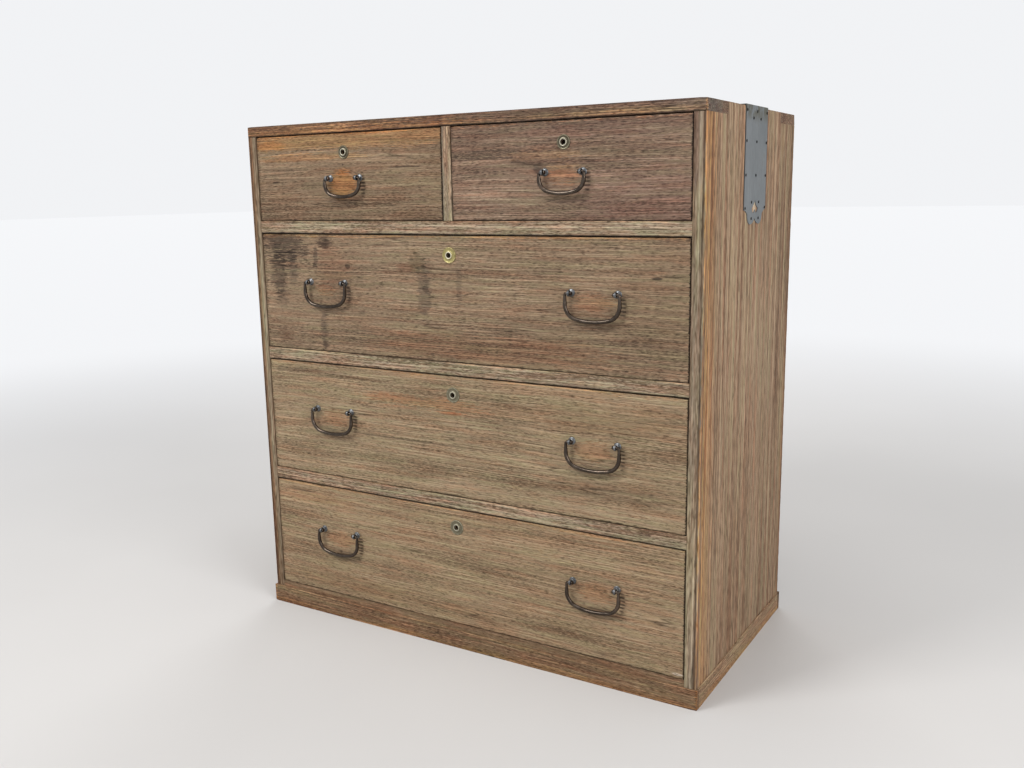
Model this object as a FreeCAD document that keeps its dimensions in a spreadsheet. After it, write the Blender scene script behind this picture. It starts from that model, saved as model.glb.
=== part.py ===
import FreeCAD, Part
import math
import os
import re
from collections import namedtuple
import Sketcher

# Tansu chest: a joined softwood carcass on a low base, two small drawers over three wide ones, with
# iron bail handles, brass keyholes, locks and an iron strap over each side. Millimetres, +Z up. The
# front faces -Y and the origin lies on the floor under the middle of the chest, handles included.

SIZES = {
    # Carcass: the top board is fingered into the sides, the other boards sit in housings
    "carcass_width": 900,
    "carcass_depth": 450,
    "carcass_height": 940,
    "top_thickness": 19,
    "side_thickness": 20,
    "bottom_thickness": 12,
    "partition_thickness": 18,
    "finger_count": 5,
    "arris_round": 2.5,
    "housing_depth": 6,
    "housing_stop": 12,
    "partition_housing": 3,
    # Back: thin upright boards let into the sides
    "back_thickness": 8,
    "back_rebate": 8,
    "back_board_count": 4,
    "back_board_gap": 0.4,
    # Base frame: four rails under the carcass, proud of it at the front and the sides
    "base_height": 34,
    "base_rail_thickness": 20,
    "base_proud": 3,
    "base_lap": 10,
    "base_round": 1.5,
    # Front rails, and the dust boards that carry the drawers
    "rail_height": 23,
    "rail_depth": 40,
    "rail_rebate": 10,
    "dust_board_thickness": 9,
    # Drawers: a thick front, fingered sides and back, and a bottom board nailed on from below
    "wide_drawer_count": 3,
    "small_opening": 154,
    "drawer_top_gap": 1.6,
    "drawer_side_gap": 1.1,
    "drawer_floor_gap": 0.3,
    "drawer_recess": 0.6,
    "drawer_back_gap": 8,
    "front_thickness": 20,
    "front_lip": 8,
    "front_chamfer": 0.8,
    "drawer_side_thickness": 12,
    "drawer_bottom_thickness": 7,
    "drawer_back_drop": 12,
    # Keyholes and locks
    "key_drop": 34,
    "keyhole_radius": 4.2,
    "small_escutcheon_radius": 11.5,
    "wide_escutcheon_radius": 13.5,
    "escutcheon_thickness": 1.4,
    "escutcheon_edge": 0.8,
    "escutcheon_dome": 0.2,
    "collar_radius": 6.6,
    "collar_height": 2.8,
    "lock_width": 46,
    "lock_below_key": 13,
    "lock_above_key": 28,
    "lock_depth": 9,
    "lock_plate": 1.6,
    "bolt_width": 16,
    "bolt_thickness": 4,
    "bolt_length": 24,
    "bolt_reach": 30,
    "bolt_notch": 4,
    "bolt_clearance": 0.35,
    "bolt_throw": 10,
    "mortise_clearance": 1,
    # Bail handles: eye posts through the drawer front, and a bar that swings in their eyes
    "small_post_height": 75,
    "wide_post_height": 129,
    "wide_handle_offset": 272,
    "small_post_spacing": 67,
    "wide_post_spacing": 81,
    "post_reach": 9.5,
    "post_radius": 1.9,
    "post_hole_clearance": 0.15,
    "rosette_radius": 6.5,
    "rosette_thickness": 1.2,
    "clinch_radius": 4.5,
    "clinch_thickness": 1.2,
    "eye_radius": 5,
    "eye_thickness": 4.2,
    "eye_hole_radius": 2.7,
    "bail_end_radius": 2.3,
    "bail_grip_radius": 3.3,
    "bail_elbow_radius": 3.1,
    "bail_knob_radius": 3.2,
    "bail_knob_length": 3,
    "bail_side_clearance": 0.4,
    "small_bail_half_width": 39.2,
    "small_bail_drop": 32.4,
    "small_bail_corner": 20,
    "small_bail_sweep": 90,
    "wide_bail_half_width": 47.3,
    "wide_bail_drop": 43.8,
    "wide_bail_corner": 24,
    "wide_bail_sweep": 125,
    # Side straps: pierced iron plates, turned over the top edge and nailed
    "strap_width": 113,
    "strap_drop": 185,
    "strap_turnover": 34,
    "strap_thickness": 1.4,
    "strap_lobe_radius": 16,
    "strap_lobe_offset": 22,
    "strap_cusp_rise": 9.5,
    "strap_step_rise": 7,
    "strap_step_radius": 28,
    "heart_lobe_radius": 8,
    "heart_lobe_offset": 7.5,
    "heart_point": 13.5,
    "heart_side_radius": 24,
    "heart_rise": 26,
    "nail_head_radius": 2.5,
    "nail_head_height": 0.9,
    "nail_inset": 5.5,
    "nail_pair_offset": 18.5,
}

# Each wide drawer and the rail over it, counted from the bottom
RAIL_ROWS = {"upper": 3, "middle": 2, "lower": 1}

# How far down a strap each row of nails sits, as a share of the strap's drop
nail_row_share = (0.04, 0.10, 0.295, 0.58, 0.81, 0.86, 0.95)

# Repeated small ironwork is turned with few sides, so that the assembly stays light
BAR_SIDES = 8
NAIL_SIDES = 6
PLATE_SIDES = 16
BEND_STEPS = 4
GRIP_STEPS = 2
MATCH = 1e-4

DERIVED = {
    "inner_width": "carcass_width - 2 * side_thickness",
    "inner_depth": "carcass_depth - back_thickness",
    "under_top": "carcass_height - top_thickness",
    "floor_level": "base_height + bottom_thickness",
    "wide_opening": "(under_top - floor_level - small_opening) / wide_drawer_count - rail_height",
    "drawer_pitch": "wide_opening + rail_height",
    "small_opening_width": "(inner_width - partition_thickness) / 2",
    "small_drawer_x": "(inner_width + partition_thickness) / 4",
    "finger_width": "carcass_depth / finger_count",
    "handle_reach": "post_reach + eye_radius - drawer_recess",
    "front_y": "(handle_reach - carcass_depth) / 2",
    "drawer_y": "front_y + drawer_recess",
    "drawer_depth": "inner_depth - drawer_recess - drawer_back_gap",
    "bolt_front": "lock_plate + bolt_clearance",
    "mortise_depth": "bolt_reach + bolt_throw - key_drop + 3 * mortise_clearance",
    "eye_middle_radius": "(eye_radius + eye_hole_radius) / 2",
    "eye_hole_corner": "eye_hole_radius / cos(180deg / %d)" % BAR_SIDES,
    "lobe_level": "strap_lobe_radius - strap_drop",
    "lobe_reach": "strap_lobe_offset + strap_lobe_radius",
    "cusp_radius": "(strap_lobe_offset ^ 2 + strap_cusp_rise ^ 2) / (2 * strap_cusp_rise)",
}


def expand(expression):
    """Write each size by its sheet name, and each derived size as its own formula in brackets."""
    def swap(match):
        word = match.group(0)
        if word in SIZES:
            return "Sizes." + word
        if word in DERIVED:
            return "(" + expand(DERIVED[word]) + ")"
        return word
    return re.sub(r"[a-z][a-z_]*", swap, expression)


doc = FreeCAD.newDocument("TansuChest")
sheet = doc.addObject("Spreadsheet::Sheet", "Sizes")
for row, (alias, number) in enumerate(SIZES.items(), start=1):
    sheet.set("A%d" % row, alias)
    sheet.set("B%d" % row, str(number))
    sheet.setAlias("B%d" % row, alias)
doc.recompute()

nodes = []


# Helpers that bind shapes to the sheet

def value(expression):
    return float(sheet.evalExpression(expand(expression)))


def bind(item, prop, expression):
    item.setExpression(prop, expand(expression))


def place(item, x, y, z):
    for axis, expression in zip("xyz", (x, y, z)):
        bind(item, "Placement.Base." + axis, expression)


def new_body(name, x="0", y="front_y", z="0"):
    body = doc.addObject("PartDesign::Body", name)
    place(body, x, y, z)
    return body


def keep(item, label):
    item.Label = label
    nodes.append(item)


def group(label, items):
    compound = doc.addObject("Part::Compound", label + "_group")
    compound.Links = items
    keep(compound, label)


def new_sketch(body, plane, name, offset="0"):
    sketch = body.newObject("Sketcher::SketchObject", name)
    origin_plane = next(item for item in body.Origin.OriginFeatures if item.Role == plane)
    sketch.AttachmentSupport = [(origin_plane, "")]
    sketch.MapMode = "FlatFace"
    bind(sketch, "AttachmentOffset.Base.z", offset)
    return sketch


def constrain(sketch, kind, expression, *targets):
    index = sketch.addConstraint(Sketcher.Constraint(kind, *targets, value(expression)))
    name = "Size%d" % index
    sketch.renameConstraint(index, name)
    bind(sketch, "Constraints." + name, expression)


def arc_between(start, end, radius, turn):
    """The short arc from start to end: turn is 1 anticlockwise and -1 clockwise."""
    chord = end - start
    rise = math.sqrt(radius ** 2 - (chord.Length / 2) ** 2)
    across = FreeCAD.Vector(-chord.y, chord.x, 0).normalize()
    centre = (start + end) / 2 + across * rise * turn
    first, last = (start, end) if turn > 0 else (end, start)
    angles = [math.atan2(point.y - centre.y, point.x - centre.x) for point in (first, last)]
    return Part.ArcOfCircle(Part.Circle(centre, FreeCAD.Vector(0, 0, 1), radius), *angles)


def draw(sketch, points):
    """Draw a closed outline through points. A point (x, y) starts a line to the next one, and a point
    (x, y, radius, turn) starts an arc. Every corner and radius is bound to the sheet."""
    corners = [FreeCAD.Vector(value(point[0]), value(point[1]), 0) for point in points]
    pieces = []
    for index, point in enumerate(points):
        start, end = corners[index], corners[(index + 1) % len(points)]
        if len(point) == 2:
            pieces.append((sketch.addGeometry(Part.LineSegment(start, end), False), 1, 2))
        else:
            arc = sketch.addGeometry(arc_between(start, end, value(point[2]), point[3]), False)
            pieces.append((arc, 1, 2) if point[3] > 0 else (arc, 2, 1))
    for (one, _, end), (other, start, _) in zip(pieces, pieces[1:] + pieces[:1]):
        sketch.addConstraint(Sketcher.Constraint("Coincident", one, end, other, start))
    for point, (piece, start, _) in zip(points, pieces):
        constrain(sketch, "DistanceX", point[0], -1, 1, piece, start)
        constrain(sketch, "DistanceY", point[1], -1, 1, piece, start)
        if len(point) > 2:
            constrain(sketch, "Radius", point[2], piece)


def draw_rectangle(sketch, left, right, low, high):
    draw(sketch, [(left, low), (right, low), (right, high), (left, high)])


def draw_circle(sketch, x, y, radius):
    centre = FreeCAD.Vector(value(x), value(y), 0)
    circle = sketch.addGeometry(Part.Circle(centre, FreeCAD.Vector(0, 0, 1), value(radius)), False)
    constrain(sketch, "DistanceX", x, -1, 1, circle, 3)
    constrain(sketch, "DistanceY", y, -1, 1, circle, 3)
    constrain(sketch, "Radius", radius, circle)


def pad(body, sketch, length, backwards=False, centred=False):
    feature = body.newObject("PartDesign::Pad", sketch.Name + "Pad")
    feature.Profile = sketch
    bind(feature, "Length", length)
    feature.Reversed = backwards
    if centred:
        feature.SideType = "Symmetric"
    body.Tip = feature


def pocket(body, sketch, depth):
    """Cut to this depth on both sides of the sketch, so a sketch on a face cuts inwards."""
    doc.recompute()
    before = body.Shape.Volume
    feature = body.newObject("PartDesign::Pocket", sketch.Name + "Pocket")
    feature.Profile = sketch
    feature.SideType = "Symmetric"
    bind(feature, "Length", "2 * (" + depth + ")")
    body.Tip = feature
    doc.recompute()
    if body.Shape.Volume >= before:
        raise RuntimeError(feature.Name + " cuts nothing")


def dress(body, kind, prop, size, chosen):
    """Round or chamfer the edges of the tip whose midpoint the test picks."""
    doc.recompute()
    base = body.Tip
    names = []
    for index, edge in enumerate(base.Shape.Edges, start=1):
        middle = edge.valueAt((edge.FirstParameter + edge.LastParameter) / 2)
        if chosen(middle, edge):
            names.append("Edge%d" % index)
    feature = body.newObject("PartDesign::" + kind, base.Name + kind)
    feature.Base = (base, names)
    bind(feature, prop, size)
    body.Tip = feature


def near(one, other):
    return abs(one - other) < MATCH


def new_ring(sides, radius, spot, axis, angle):
    """A regular polygon at a spot, tilted by an angle about an axis, as one section of a turned bar."""
    ring = doc.addObject("Part::RegularPolygon", "Ring")
    ring.Polygon = sides
    bind(ring, "Circumradius", radius)
    bind(ring, "Placement", "placement(vector(%s; %s; %s); rotation(vector(%s); %s))" % (*spot, axis, angle))
    return ring


class Skin:
    """A solid with one flat face from each side of a ring to the same side of the next ring."""

    def __init__(self, item, rings):
        item.addProperty("App::PropertyLinkList", "Rings")
        item.Rings = rings
        item.Proxy = self

    def execute(self, item):
        loops = [[vertex.Point for vertex in ring.Shape.Vertexes] for ring in item.Rings]
        outlines = [loops[0], loops[-1]]
        for one, other in zip(loops, loops[1:]):
            for index in range(len(one)):
                outlines.append([one[index - 1], one[index], other[index], other[index - 1]])
        shell = Part.Shell([Part.Face(Part.makePolygon(corners + corners[:1])) for corners in outlines])
        solid = Part.Solid(shell)
        if solid.Volume < 0:
            solid.reverse()
        item.Shape = solid


def skin(name, rings):
    item = doc.addObject("Part::FeaturePython", name)
    Skin(item, rings)
    return item


def turned(name, spot, sides, profile):
    """Rings of these radii, each so far behind the spot, skinned into one piece turned about Y."""
    x, y, z = spot
    return skin(name, [new_ring(sides, radius, (x, "%s + (%s)" % (y, behind), z), "1; 0; 0", "90deg")
                       for radius, behind in profile])


def polygon_points(x, y, radius, sides):
    """Corners of a regular polygon, as expressions."""
    turns = ["%d * 360deg / %d" % (index, sides) for index in range(sides)]
    return [("%s + %s * cos(%s)" % (x, radius, turn), "%s + %s * sin(%s)" % (y, radius, turn))
            for turn in turns]


# Carcass

def finger_steps(inner, outer, first_is_outer):
    """Corners of a fingered edge, as (level, distance from the front) pairs."""
    steps = []
    for index in range(SIZES["finger_count"]):
        level = outer if (index % 2 == 0) == first_is_outer else inner
        steps.append((level, "%d * finger_width" % index))
        steps.append((level, "%d * finger_width" % (index + 1)))
    return steps


def build_top_board():
    body = new_body("TopBoard", z="under_top")
    steps = finger_steps("inner_width / 2", "carcass_width / 2", True)
    outline = new_sketch(body, "XY_Plane", "TopOutline")
    draw(outline, steps + [("-(" + x + ")", y) for x, y in reversed(steps)])
    pad(body, outline, "top_thickness")
    housing = new_sketch(body, "XY_Plane", "TopHousing")
    draw_rectangle(housing, "-partition_thickness / 2", "partition_thickness / 2",
                   "housing_stop", "inner_depth")
    pocket(body, housing, "partition_housing")
    mortises = new_sketch(body, "XY_Plane", "TopMortises")
    for side in ("-", ""):
        draw_mortise(mortises, side + "small_drawer_x")
    pocket(body, mortises, "mortise_depth")
    end, top = value("carcass_width / 2"), value("top_thickness")
    dress(body, "Fillet", "Radius", "arris_round", lambda middle, edge:
          (near(middle.y, 0) and near(middle.z, top)) or (near(middle.y, 0) and near(abs(middle.x), end)))
    keep(body, "top_board")


def draw_mortise(sketch, x):
    """The slot that a raised lock bolt enters."""
    reach = "bolt_width / 2 + mortise_clearance"
    near_side = "drawer_recess + front_thickness + bolt_front - mortise_clearance"
    far_side = "drawer_recess + front_thickness + bolt_front + bolt_thickness + mortise_clearance"
    draw_rectangle(sketch, x + " - (" + reach + ")", x + " + " + reach, near_side, far_side)


def build_side_board(label, outward):
    """One side board. Its inner face is the local YZ plane and outward is 1 or -1."""
    body = new_body("SideBoard", x="%d * inner_width / 2" % outward)
    steps = finger_steps("carcass_height", "under_top", True)
    outline = new_sketch(body, "YZ_Plane", "SideOutline")
    draw(outline, [("carcass_depth", "base_height"), ("0", "base_height")] + [(y, z) for z, y in steps])
    pad(body, outline, "side_thickness", backwards=outward < 0)
    housings = new_sketch(body, "YZ_Plane", "SideHousings")
    draw_rectangle(housings, "housing_stop", "inner_depth", "base_height", "floor_level")
    for index in RAIL_ROWS.values():
        low = "floor_level + %d * drawer_pitch - rail_height" % index
        high = "floor_level + %d * drawer_pitch" % index
        shelf = high + " - dust_board_thickness"
        draw(housings, [("housing_stop", low), ("rail_depth", low), ("rail_depth", shelf),
                        ("inner_depth", shelf), ("inner_depth", high), ("housing_stop", high)])
    pocket(body, housings, "housing_depth")
    rebate = new_sketch(body, "YZ_Plane", "BackRebate")
    draw_rectangle(rebate, "inner_depth", "carcass_depth", "base_height", "under_top")
    pocket(body, rebate, "back_rebate")
    outer = value("side_thickness")
    dress(body, "Fillet", "Radius", "arris_round", lambda middle, edge:
          near(middle.y, 0) and near(abs(middle.x), outer))
    keep(body, label)


def build_bottom_board():
    body = new_body("BottomBoard", z="base_height")
    outline = new_sketch(body, "XY_Plane", "BottomOutline")
    reach = "inner_width / 2 + housing_depth"
    draw(outline, [("-inner_width / 2", "0"), ("inner_width / 2", "0"), ("inner_width / 2", "housing_stop"),
                   (reach, "housing_stop"), (reach, "inner_depth"), ("-(" + reach + ")", "inner_depth"),
                   ("-(" + reach + ")", "housing_stop"), ("-inner_width / 2", "housing_stop")])
    pad(body, outline, "bottom_thickness")
    keep(body, "bottom_board")


def build_front_rail(label, index):
    """A front rail: rebated behind for its dust board, and mortised below for the lock bolt."""
    body = new_body("FrontRail", z="floor_level + %d * drawer_pitch - rail_height" % index)
    profile = new_sketch(body, "YZ_Plane", "RailProfile")
    shelf = "rail_height - dust_board_thickness"
    draw(profile, [("0", "0"), ("rail_depth", "0"), ("rail_depth", shelf),
                   ("rail_depth - rail_rebate", shelf), ("rail_depth - rail_rebate", "rail_height"),
                   ("0", "rail_height")])
    pad(body, profile, "inner_width + 2 * housing_depth", centred=True)
    shoulders = new_sketch(body, "XY_Plane", "RailShoulders")
    for side in ("-", ""):
        near_end, far_end = side + "inner_width / 2", side + "(inner_width / 2 + housing_depth)"
        draw_rectangle(shoulders, near_end, far_end, "0", "housing_stop")
    pocket(body, shoulders, "rail_height")
    mortise = new_sketch(body, "XY_Plane", "RailMortise")
    draw_mortise(mortise, "0")
    pocket(body, mortise, "mortise_depth")
    if index == SIZES["wide_drawer_count"]:
        housing = new_sketch(body, "XY_Plane", "RailHousing", "rail_height")
        draw_rectangle(housing, "-partition_thickness / 2", "partition_thickness / 2",
                       "housing_stop", "rail_depth - rail_rebate")
        pocket(body, housing, "partition_housing")
    keep(body, label)


def build_dust_board(label, index):
    body = new_body("DustBoard", z="floor_level + %d * drawer_pitch - dust_board_thickness" % index)
    outline = new_sketch(body, "XY_Plane", "DustOutline")
    reach = "inner_width / 2 + housing_depth"
    draw_rectangle(outline, "-(" + reach + ")", reach, "rail_depth - rail_rebate", "inner_depth")
    pad(body, outline, "dust_board_thickness")
    if index == SIZES["wide_drawer_count"]:
        housing = new_sketch(body, "XY_Plane", "DustHousing", "dust_board_thickness")
        draw_rectangle(housing, "-partition_thickness / 2", "partition_thickness / 2",
                       "rail_depth - rail_rebate", "inner_depth")
        pocket(body, housing, "partition_housing")
    keep(body, label)


def build_partition():
    body = new_body("Partition", z="under_top - small_opening")
    outline = new_sketch(body, "YZ_Plane", "PartitionOutline")
    top = "small_opening + partition_housing"
    draw(outline, [("0", "0"), ("housing_stop", "0"), ("housing_stop", "-partition_housing"),
                   ("inner_depth", "-partition_housing"), ("inner_depth", top), ("housing_stop", top),
                   ("housing_stop", "small_opening"), ("0", "small_opening")])
    pad(body, outline, "partition_thickness", centred=True)
    keep(body, "centre_partition")


def build_back_boards():
    count = SIZES["back_board_count"]
    pitch = "(inner_width + 2 * back_rebate) / back_board_count"
    boards = []
    for index in range(count):
        board = doc.addObject("Part::Box", "BackBoard")
        bind(board, "Length", pitch + " - back_board_gap")
        bind(board, "Width", "back_thickness")
        bind(board, "Height", "under_top - base_height")
        start = "(%d - back_board_count / 2) * " % index
        place(board, start + pitch + " + back_board_gap / 2", "front_y + inner_depth", "base_height")
        boards.append(board)
    group("back_boards", boards)


def build_base_frame():
    outer = "carcass_width / 2 + base_proud"
    inner = outer + " - base_rail_thickness"
    long_rails = []
    for name, start, step in (("BaseFrontRail", "-base_proud", ""), ("BaseBackRail", "carcass_depth", "-")):
        lap = start + " + " + step + "(base_rail_thickness - base_lap)"
        back = start + " + " + step + "base_rail_thickness"
        body = new_body(name)
        outline = new_sketch(body, "XY_Plane", name + "Outline")
        half = [(outer, start), (outer, lap), (inner, lap), (inner, back)]
        draw(outline, half + [("-(" + x + ")", y) for x, y in reversed(half)])
        pad(body, outline, "base_height")
        face, top = value(start), value("base_height")
        dress(body, "Fillet", "Radius", "base_round", lambda middle, edge:
              near(middle.y, face) and near(middle.z, top))
        long_rails.append(body)
    group("base_long_rails", long_rails)
    side_rails = []
    for side in (-1, 1):
        rail = new_body("BaseSideRail")
        profile = new_sketch(rail, "XY_Plane", "BaseSideOutline")
        draw_rectangle(profile, "%d * (%s)" % (side, inner), "%d * (%s)" % (side, outer),
                       "base_rail_thickness - base_lap - base_proud",
                       "carcass_depth - base_rail_thickness + base_lap")
        pad(rail, profile, "base_height")
        end, top = value(outer), value("base_height")
        dress(rail, "Fillet", "Radius", "base_round", lambda middle, edge:
              near(abs(middle.x), end) and near(middle.z, top))
        side_rails.append(rail)
    group("base_side_rails", side_rails)


# Side straps

def build_strap(label, outward):
    """A pierced plate on one side, with its head turned over the top board."""
    body = new_body("Strap", x="%d * carcass_width / 2" % outward,
                    y="front_y + carcass_depth / 2", z="carcass_height")
    outline = new_sketch(body, "YZ_Plane", "StrapOutline")
    step_level = "lobe_level + strap_step_rise"
    draw(outline, [
        ("-strap_width / 2", "strap_thickness"),
        ("-strap_width / 2", step_level, "strap_step_radius", -1),
        ("-(lobe_reach)", "lobe_level", "strap_lobe_radius", 1),
        ("-strap_lobe_offset", "-strap_drop", "cusp_radius", 1),
        ("0", "strap_cusp_rise - strap_drop", "cusp_radius", 1),
        ("strap_lobe_offset", "-strap_drop", "strap_lobe_radius", 1),
        ("lobe_reach", "lobe_level", "strap_step_radius", -1),
        ("strap_width / 2", step_level),
        ("strap_width / 2", "strap_thickness"),
    ])
    pad(body, outline, "strap_thickness", backwards=outward < 0)
    turnover = new_sketch(body, "XY_Plane", "StrapTurnover")
    draw_rectangle(turnover, "0", "%d * strap_turnover" % -outward, "-strap_width / 2", "strap_width / 2")
    pad(body, turnover, "strap_thickness")
    heart = new_sketch(body, "YZ_Plane", "StrapHeart")
    middle = "(heart_rise - strap_drop)"
    wide = "(heart_lobe_offset + heart_lobe_radius)"
    heart_cusp = middle + " - sqrt(heart_lobe_radius ^ 2 - heart_lobe_offset ^ 2)"
    draw(heart, [
        ("0", middle + " + heart_point", "heart_side_radius", -1),
        ("-" + wide, middle, "heart_lobe_radius", 1),
        ("-heart_lobe_offset", middle + " - heart_lobe_radius", "heart_lobe_radius", 1),
        ("0", heart_cusp, "heart_lobe_radius", 1),
        ("heart_lobe_offset", middle + " - heart_lobe_radius", "heart_lobe_radius", 1),
        (wide, middle, "heart_side_radius", -1),
    ])
    pocket(body, heart, "2 * strap_thickness")
    keep(body, label)


def build_strap_nails():
    """Forged nail heads in rows down both straps, and one row on each turned-over head."""
    edge = "(strap_width / 2 - nail_inset)"
    beside = ("-nail_pair_offset", "nail_pair_offset")
    outside = ("-" + edge, edge)
    across = ("-" + edge, "0", edge)
    rows = zip(nail_row_share, (across, beside, across, across, beside, outside, beside))
    spots = [(offset, "carcass_height - %s * strap_drop" % share) for share, row in rows for offset in row]
    heads = []
    for outward in (-1, 1):
        for offset, level in spots:
            nail = new_nail_head(FreeCAD.Rotation(FreeCAD.Vector(0, outward, 0), 90))
            place(nail, "%d * (carcass_width / 2 + strap_thickness)" % outward,
                  "front_y + carcass_depth / 2 + " + offset, level)
            heads.append(nail)
        for offset in across:
            nail = new_nail_head(FreeCAD.Rotation())
            place(nail, "%d * (carcass_width / 2 - strap_turnover / 2)" % outward,
                  "front_y + carcass_depth / 2 + " + offset, "carcass_height + strap_thickness")
            heads.append(nail)
    group("strap_nails", heads)


def new_nail_head(rotation):
    nail = doc.addObject("Part::Prism", "NailHead")
    nail.Polygon = NAIL_SIDES
    nail.Placement = FreeCAD.Placement(FreeCAD.Vector(), rotation)
    bind(nail, "Circumradius", "nail_head_radius")
    bind(nail, "Height", "nail_head_height")
    return nail


# Drawers. A drawer's pieces share one local frame: x from its middle, y from the face of its front
# and z from its underside.

Drawer = namedtuple("Drawer", "name x floor width height handles spacing post_height escutcheon bail")


def drawer_spot(drawer, x="0", y="0", z="0"):
    """A spot in a drawer's own frame, moved into the frame of the chest."""
    return ("(%s) + (%s)" % (drawer.x, x), "drawer_y + (%s)" % y,
            "(%s) + drawer_floor_gap + (%s)" % (drawer.floor, z))


def drawer_body(drawer, name, x="0", y="0", z="0"):
    return new_body(name, *drawer_spot(drawer, x, y, z))


def key_level(drawer):
    """Height of the keyhole in the drawer's own frame."""
    return "(%s - drawer_floor_gap - key_drop)" % drawer.height


def post_level(drawer):
    return "(%s - drawer_floor_gap)" % drawer.post_height


def front_size(drawer):
    """Half the width of a drawer, and its height."""
    half_width = "((%s) / 2 - drawer_side_gap)" % drawer.width
    height = "(%s - drawer_top_gap - drawer_floor_gap)" % drawer.height
    return half_width, height


def post_spots(drawer):
    return ["(%s + %s * %s / 2)" % (handle, side, drawer.spacing)
            for handle in drawer.handles for side in ("-1", "1")]


def build_drawer_front(drawer):
    body = drawer_body(drawer, "DrawerFront")
    half, height = front_size(drawer)
    shoulder = half + " - drawer_side_thickness"
    outline = new_sketch(body, "XY_Plane", "FrontOutline")
    side = [(half, "0"), (half, "front_lip"), (shoulder, "front_lip"), (shoulder, "front_thickness")]
    draw(outline, side + [("-(" + x + ")", y) for x, y in reversed(side)])
    pad(body, outline, height)
    rebate = new_sketch(body, "XY_Plane", "FrontRebate")
    draw_rectangle(rebate, "-" + half, half, "front_lip", "front_thickness")
    pocket(body, rebate, "drawer_bottom_thickness")
    holes = new_sketch(body, "XZ_Plane", "FrontHoles")
    draw_circle(holes, "0", key_level(drawer), "keyhole_radius")
    for x in post_spots(drawer):
        draw(holes, polygon_points(x, post_level(drawer), "(post_radius + post_hole_clearance)", BAR_SIDES))
    pocket(body, holes, "front_thickness")
    ends, top = value(half), value(height)
    dress(body, "Chamfer", "Size", "front_chamfer", lambda middle, edge:
          near(middle.y, 0) and (near(abs(middle.x), ends) or near(middle.z, 0) or near(middle.z, top)))
    keep(body, drawer.name + "_front")


def build_drawer_box(drawer):
    """The two sides and the back, fingered together at the rear corners."""
    half, height = front_size(drawer)
    floor = "drawer_bottom_thickness"
    back_height = "(" + height + " - drawer_back_drop - drawer_bottom_thickness)"
    low, high = floor + " + " + back_height + " / 3", floor + " + 2 * " + back_height + " / 3"
    inner_end = "drawer_depth - drawer_side_thickness"
    pieces = []
    for side in (-1, 1):
        body = drawer_body(drawer, "DrawerSide", x="%d * (%s - drawer_side_thickness)" % (side, half))
        outline = new_sketch(body, "YZ_Plane", "DrawerSideOutline")
        draw(outline, [("front_lip", floor), ("drawer_depth", floor), ("drawer_depth", low),
                       (inner_end, low), (inner_end, high), ("drawer_depth", high),
                       ("drawer_depth", height), ("front_lip", height)])
        pad(body, outline, "drawer_side_thickness", backwards=side < 0)
        pieces.append(body)
    back = drawer_body(drawer, "DrawerBack", y="(" + inner_end + ")")
    outline = new_sketch(back, "XZ_Plane", "DrawerBackOutline")
    inner = half + " - drawer_side_thickness"
    side = [(inner, floor), (inner, low), (half, low), (half, high), (inner, high),
            (inner, floor + " + " + back_height)]
    draw(outline, side + [("-(" + x + ")", z) for x, z in reversed(side)])
    pad(back, outline, "drawer_side_thickness", backwards=True)
    group(drawer.name + "_box", pieces + [back])


def build_drawer_bottom(drawer):
    body = drawer_body(drawer, "DrawerBottom")
    half, _ = front_size(drawer)
    outline = new_sketch(body, "XY_Plane", "DrawerBottomOutline")
    draw_rectangle(outline, "-" + half, half, "front_lip", "drawer_depth")
    pad(body, outline, "drawer_bottom_thickness")
    keep(body, drawer.name + "_bottom")


def build_escutcheon(drawer):
    """A brass disc with a raised collar round the keyhole."""
    spot = drawer_spot(drawer, z=key_level(drawer))
    disc = turned("Disc", spot, PLATE_SIDES, [
        (drawer.escutcheon, "0"),
        (drawer.escutcheon, "escutcheon_edge - escutcheon_thickness"),
        (drawer.escutcheon + " - escutcheon_edge", "-escutcheon_thickness"),
        ("collar_radius + escutcheon_dome", "-escutcheon_thickness - escutcheon_dome"),
        ("collar_radius", "-escutcheon_thickness - 2 * escutcheon_dome"),
        ("collar_radius", "escutcheon_edge - collar_height"),
        ("collar_radius - escutcheon_edge", "-collar_height"),
    ])
    bore = doc.addObject("Part::Cylinder", "Bore")
    bore.Placement = FreeCAD.Placement(FreeCAD.Vector(), FreeCAD.Rotation(FreeCAD.Vector(1, 0, 0), 90))
    place(bore, spot[0], spot[1], spot[2])
    bind(bore, "Radius", "keyhole_radius")
    bind(bore, "Height", "collar_height")
    plate = doc.addObject("Part::Cut", "Escutcheon")
    plate.Base, plate.Tool = disc, bore
    keep(plate, drawer.name + "_escutcheon")


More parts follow.
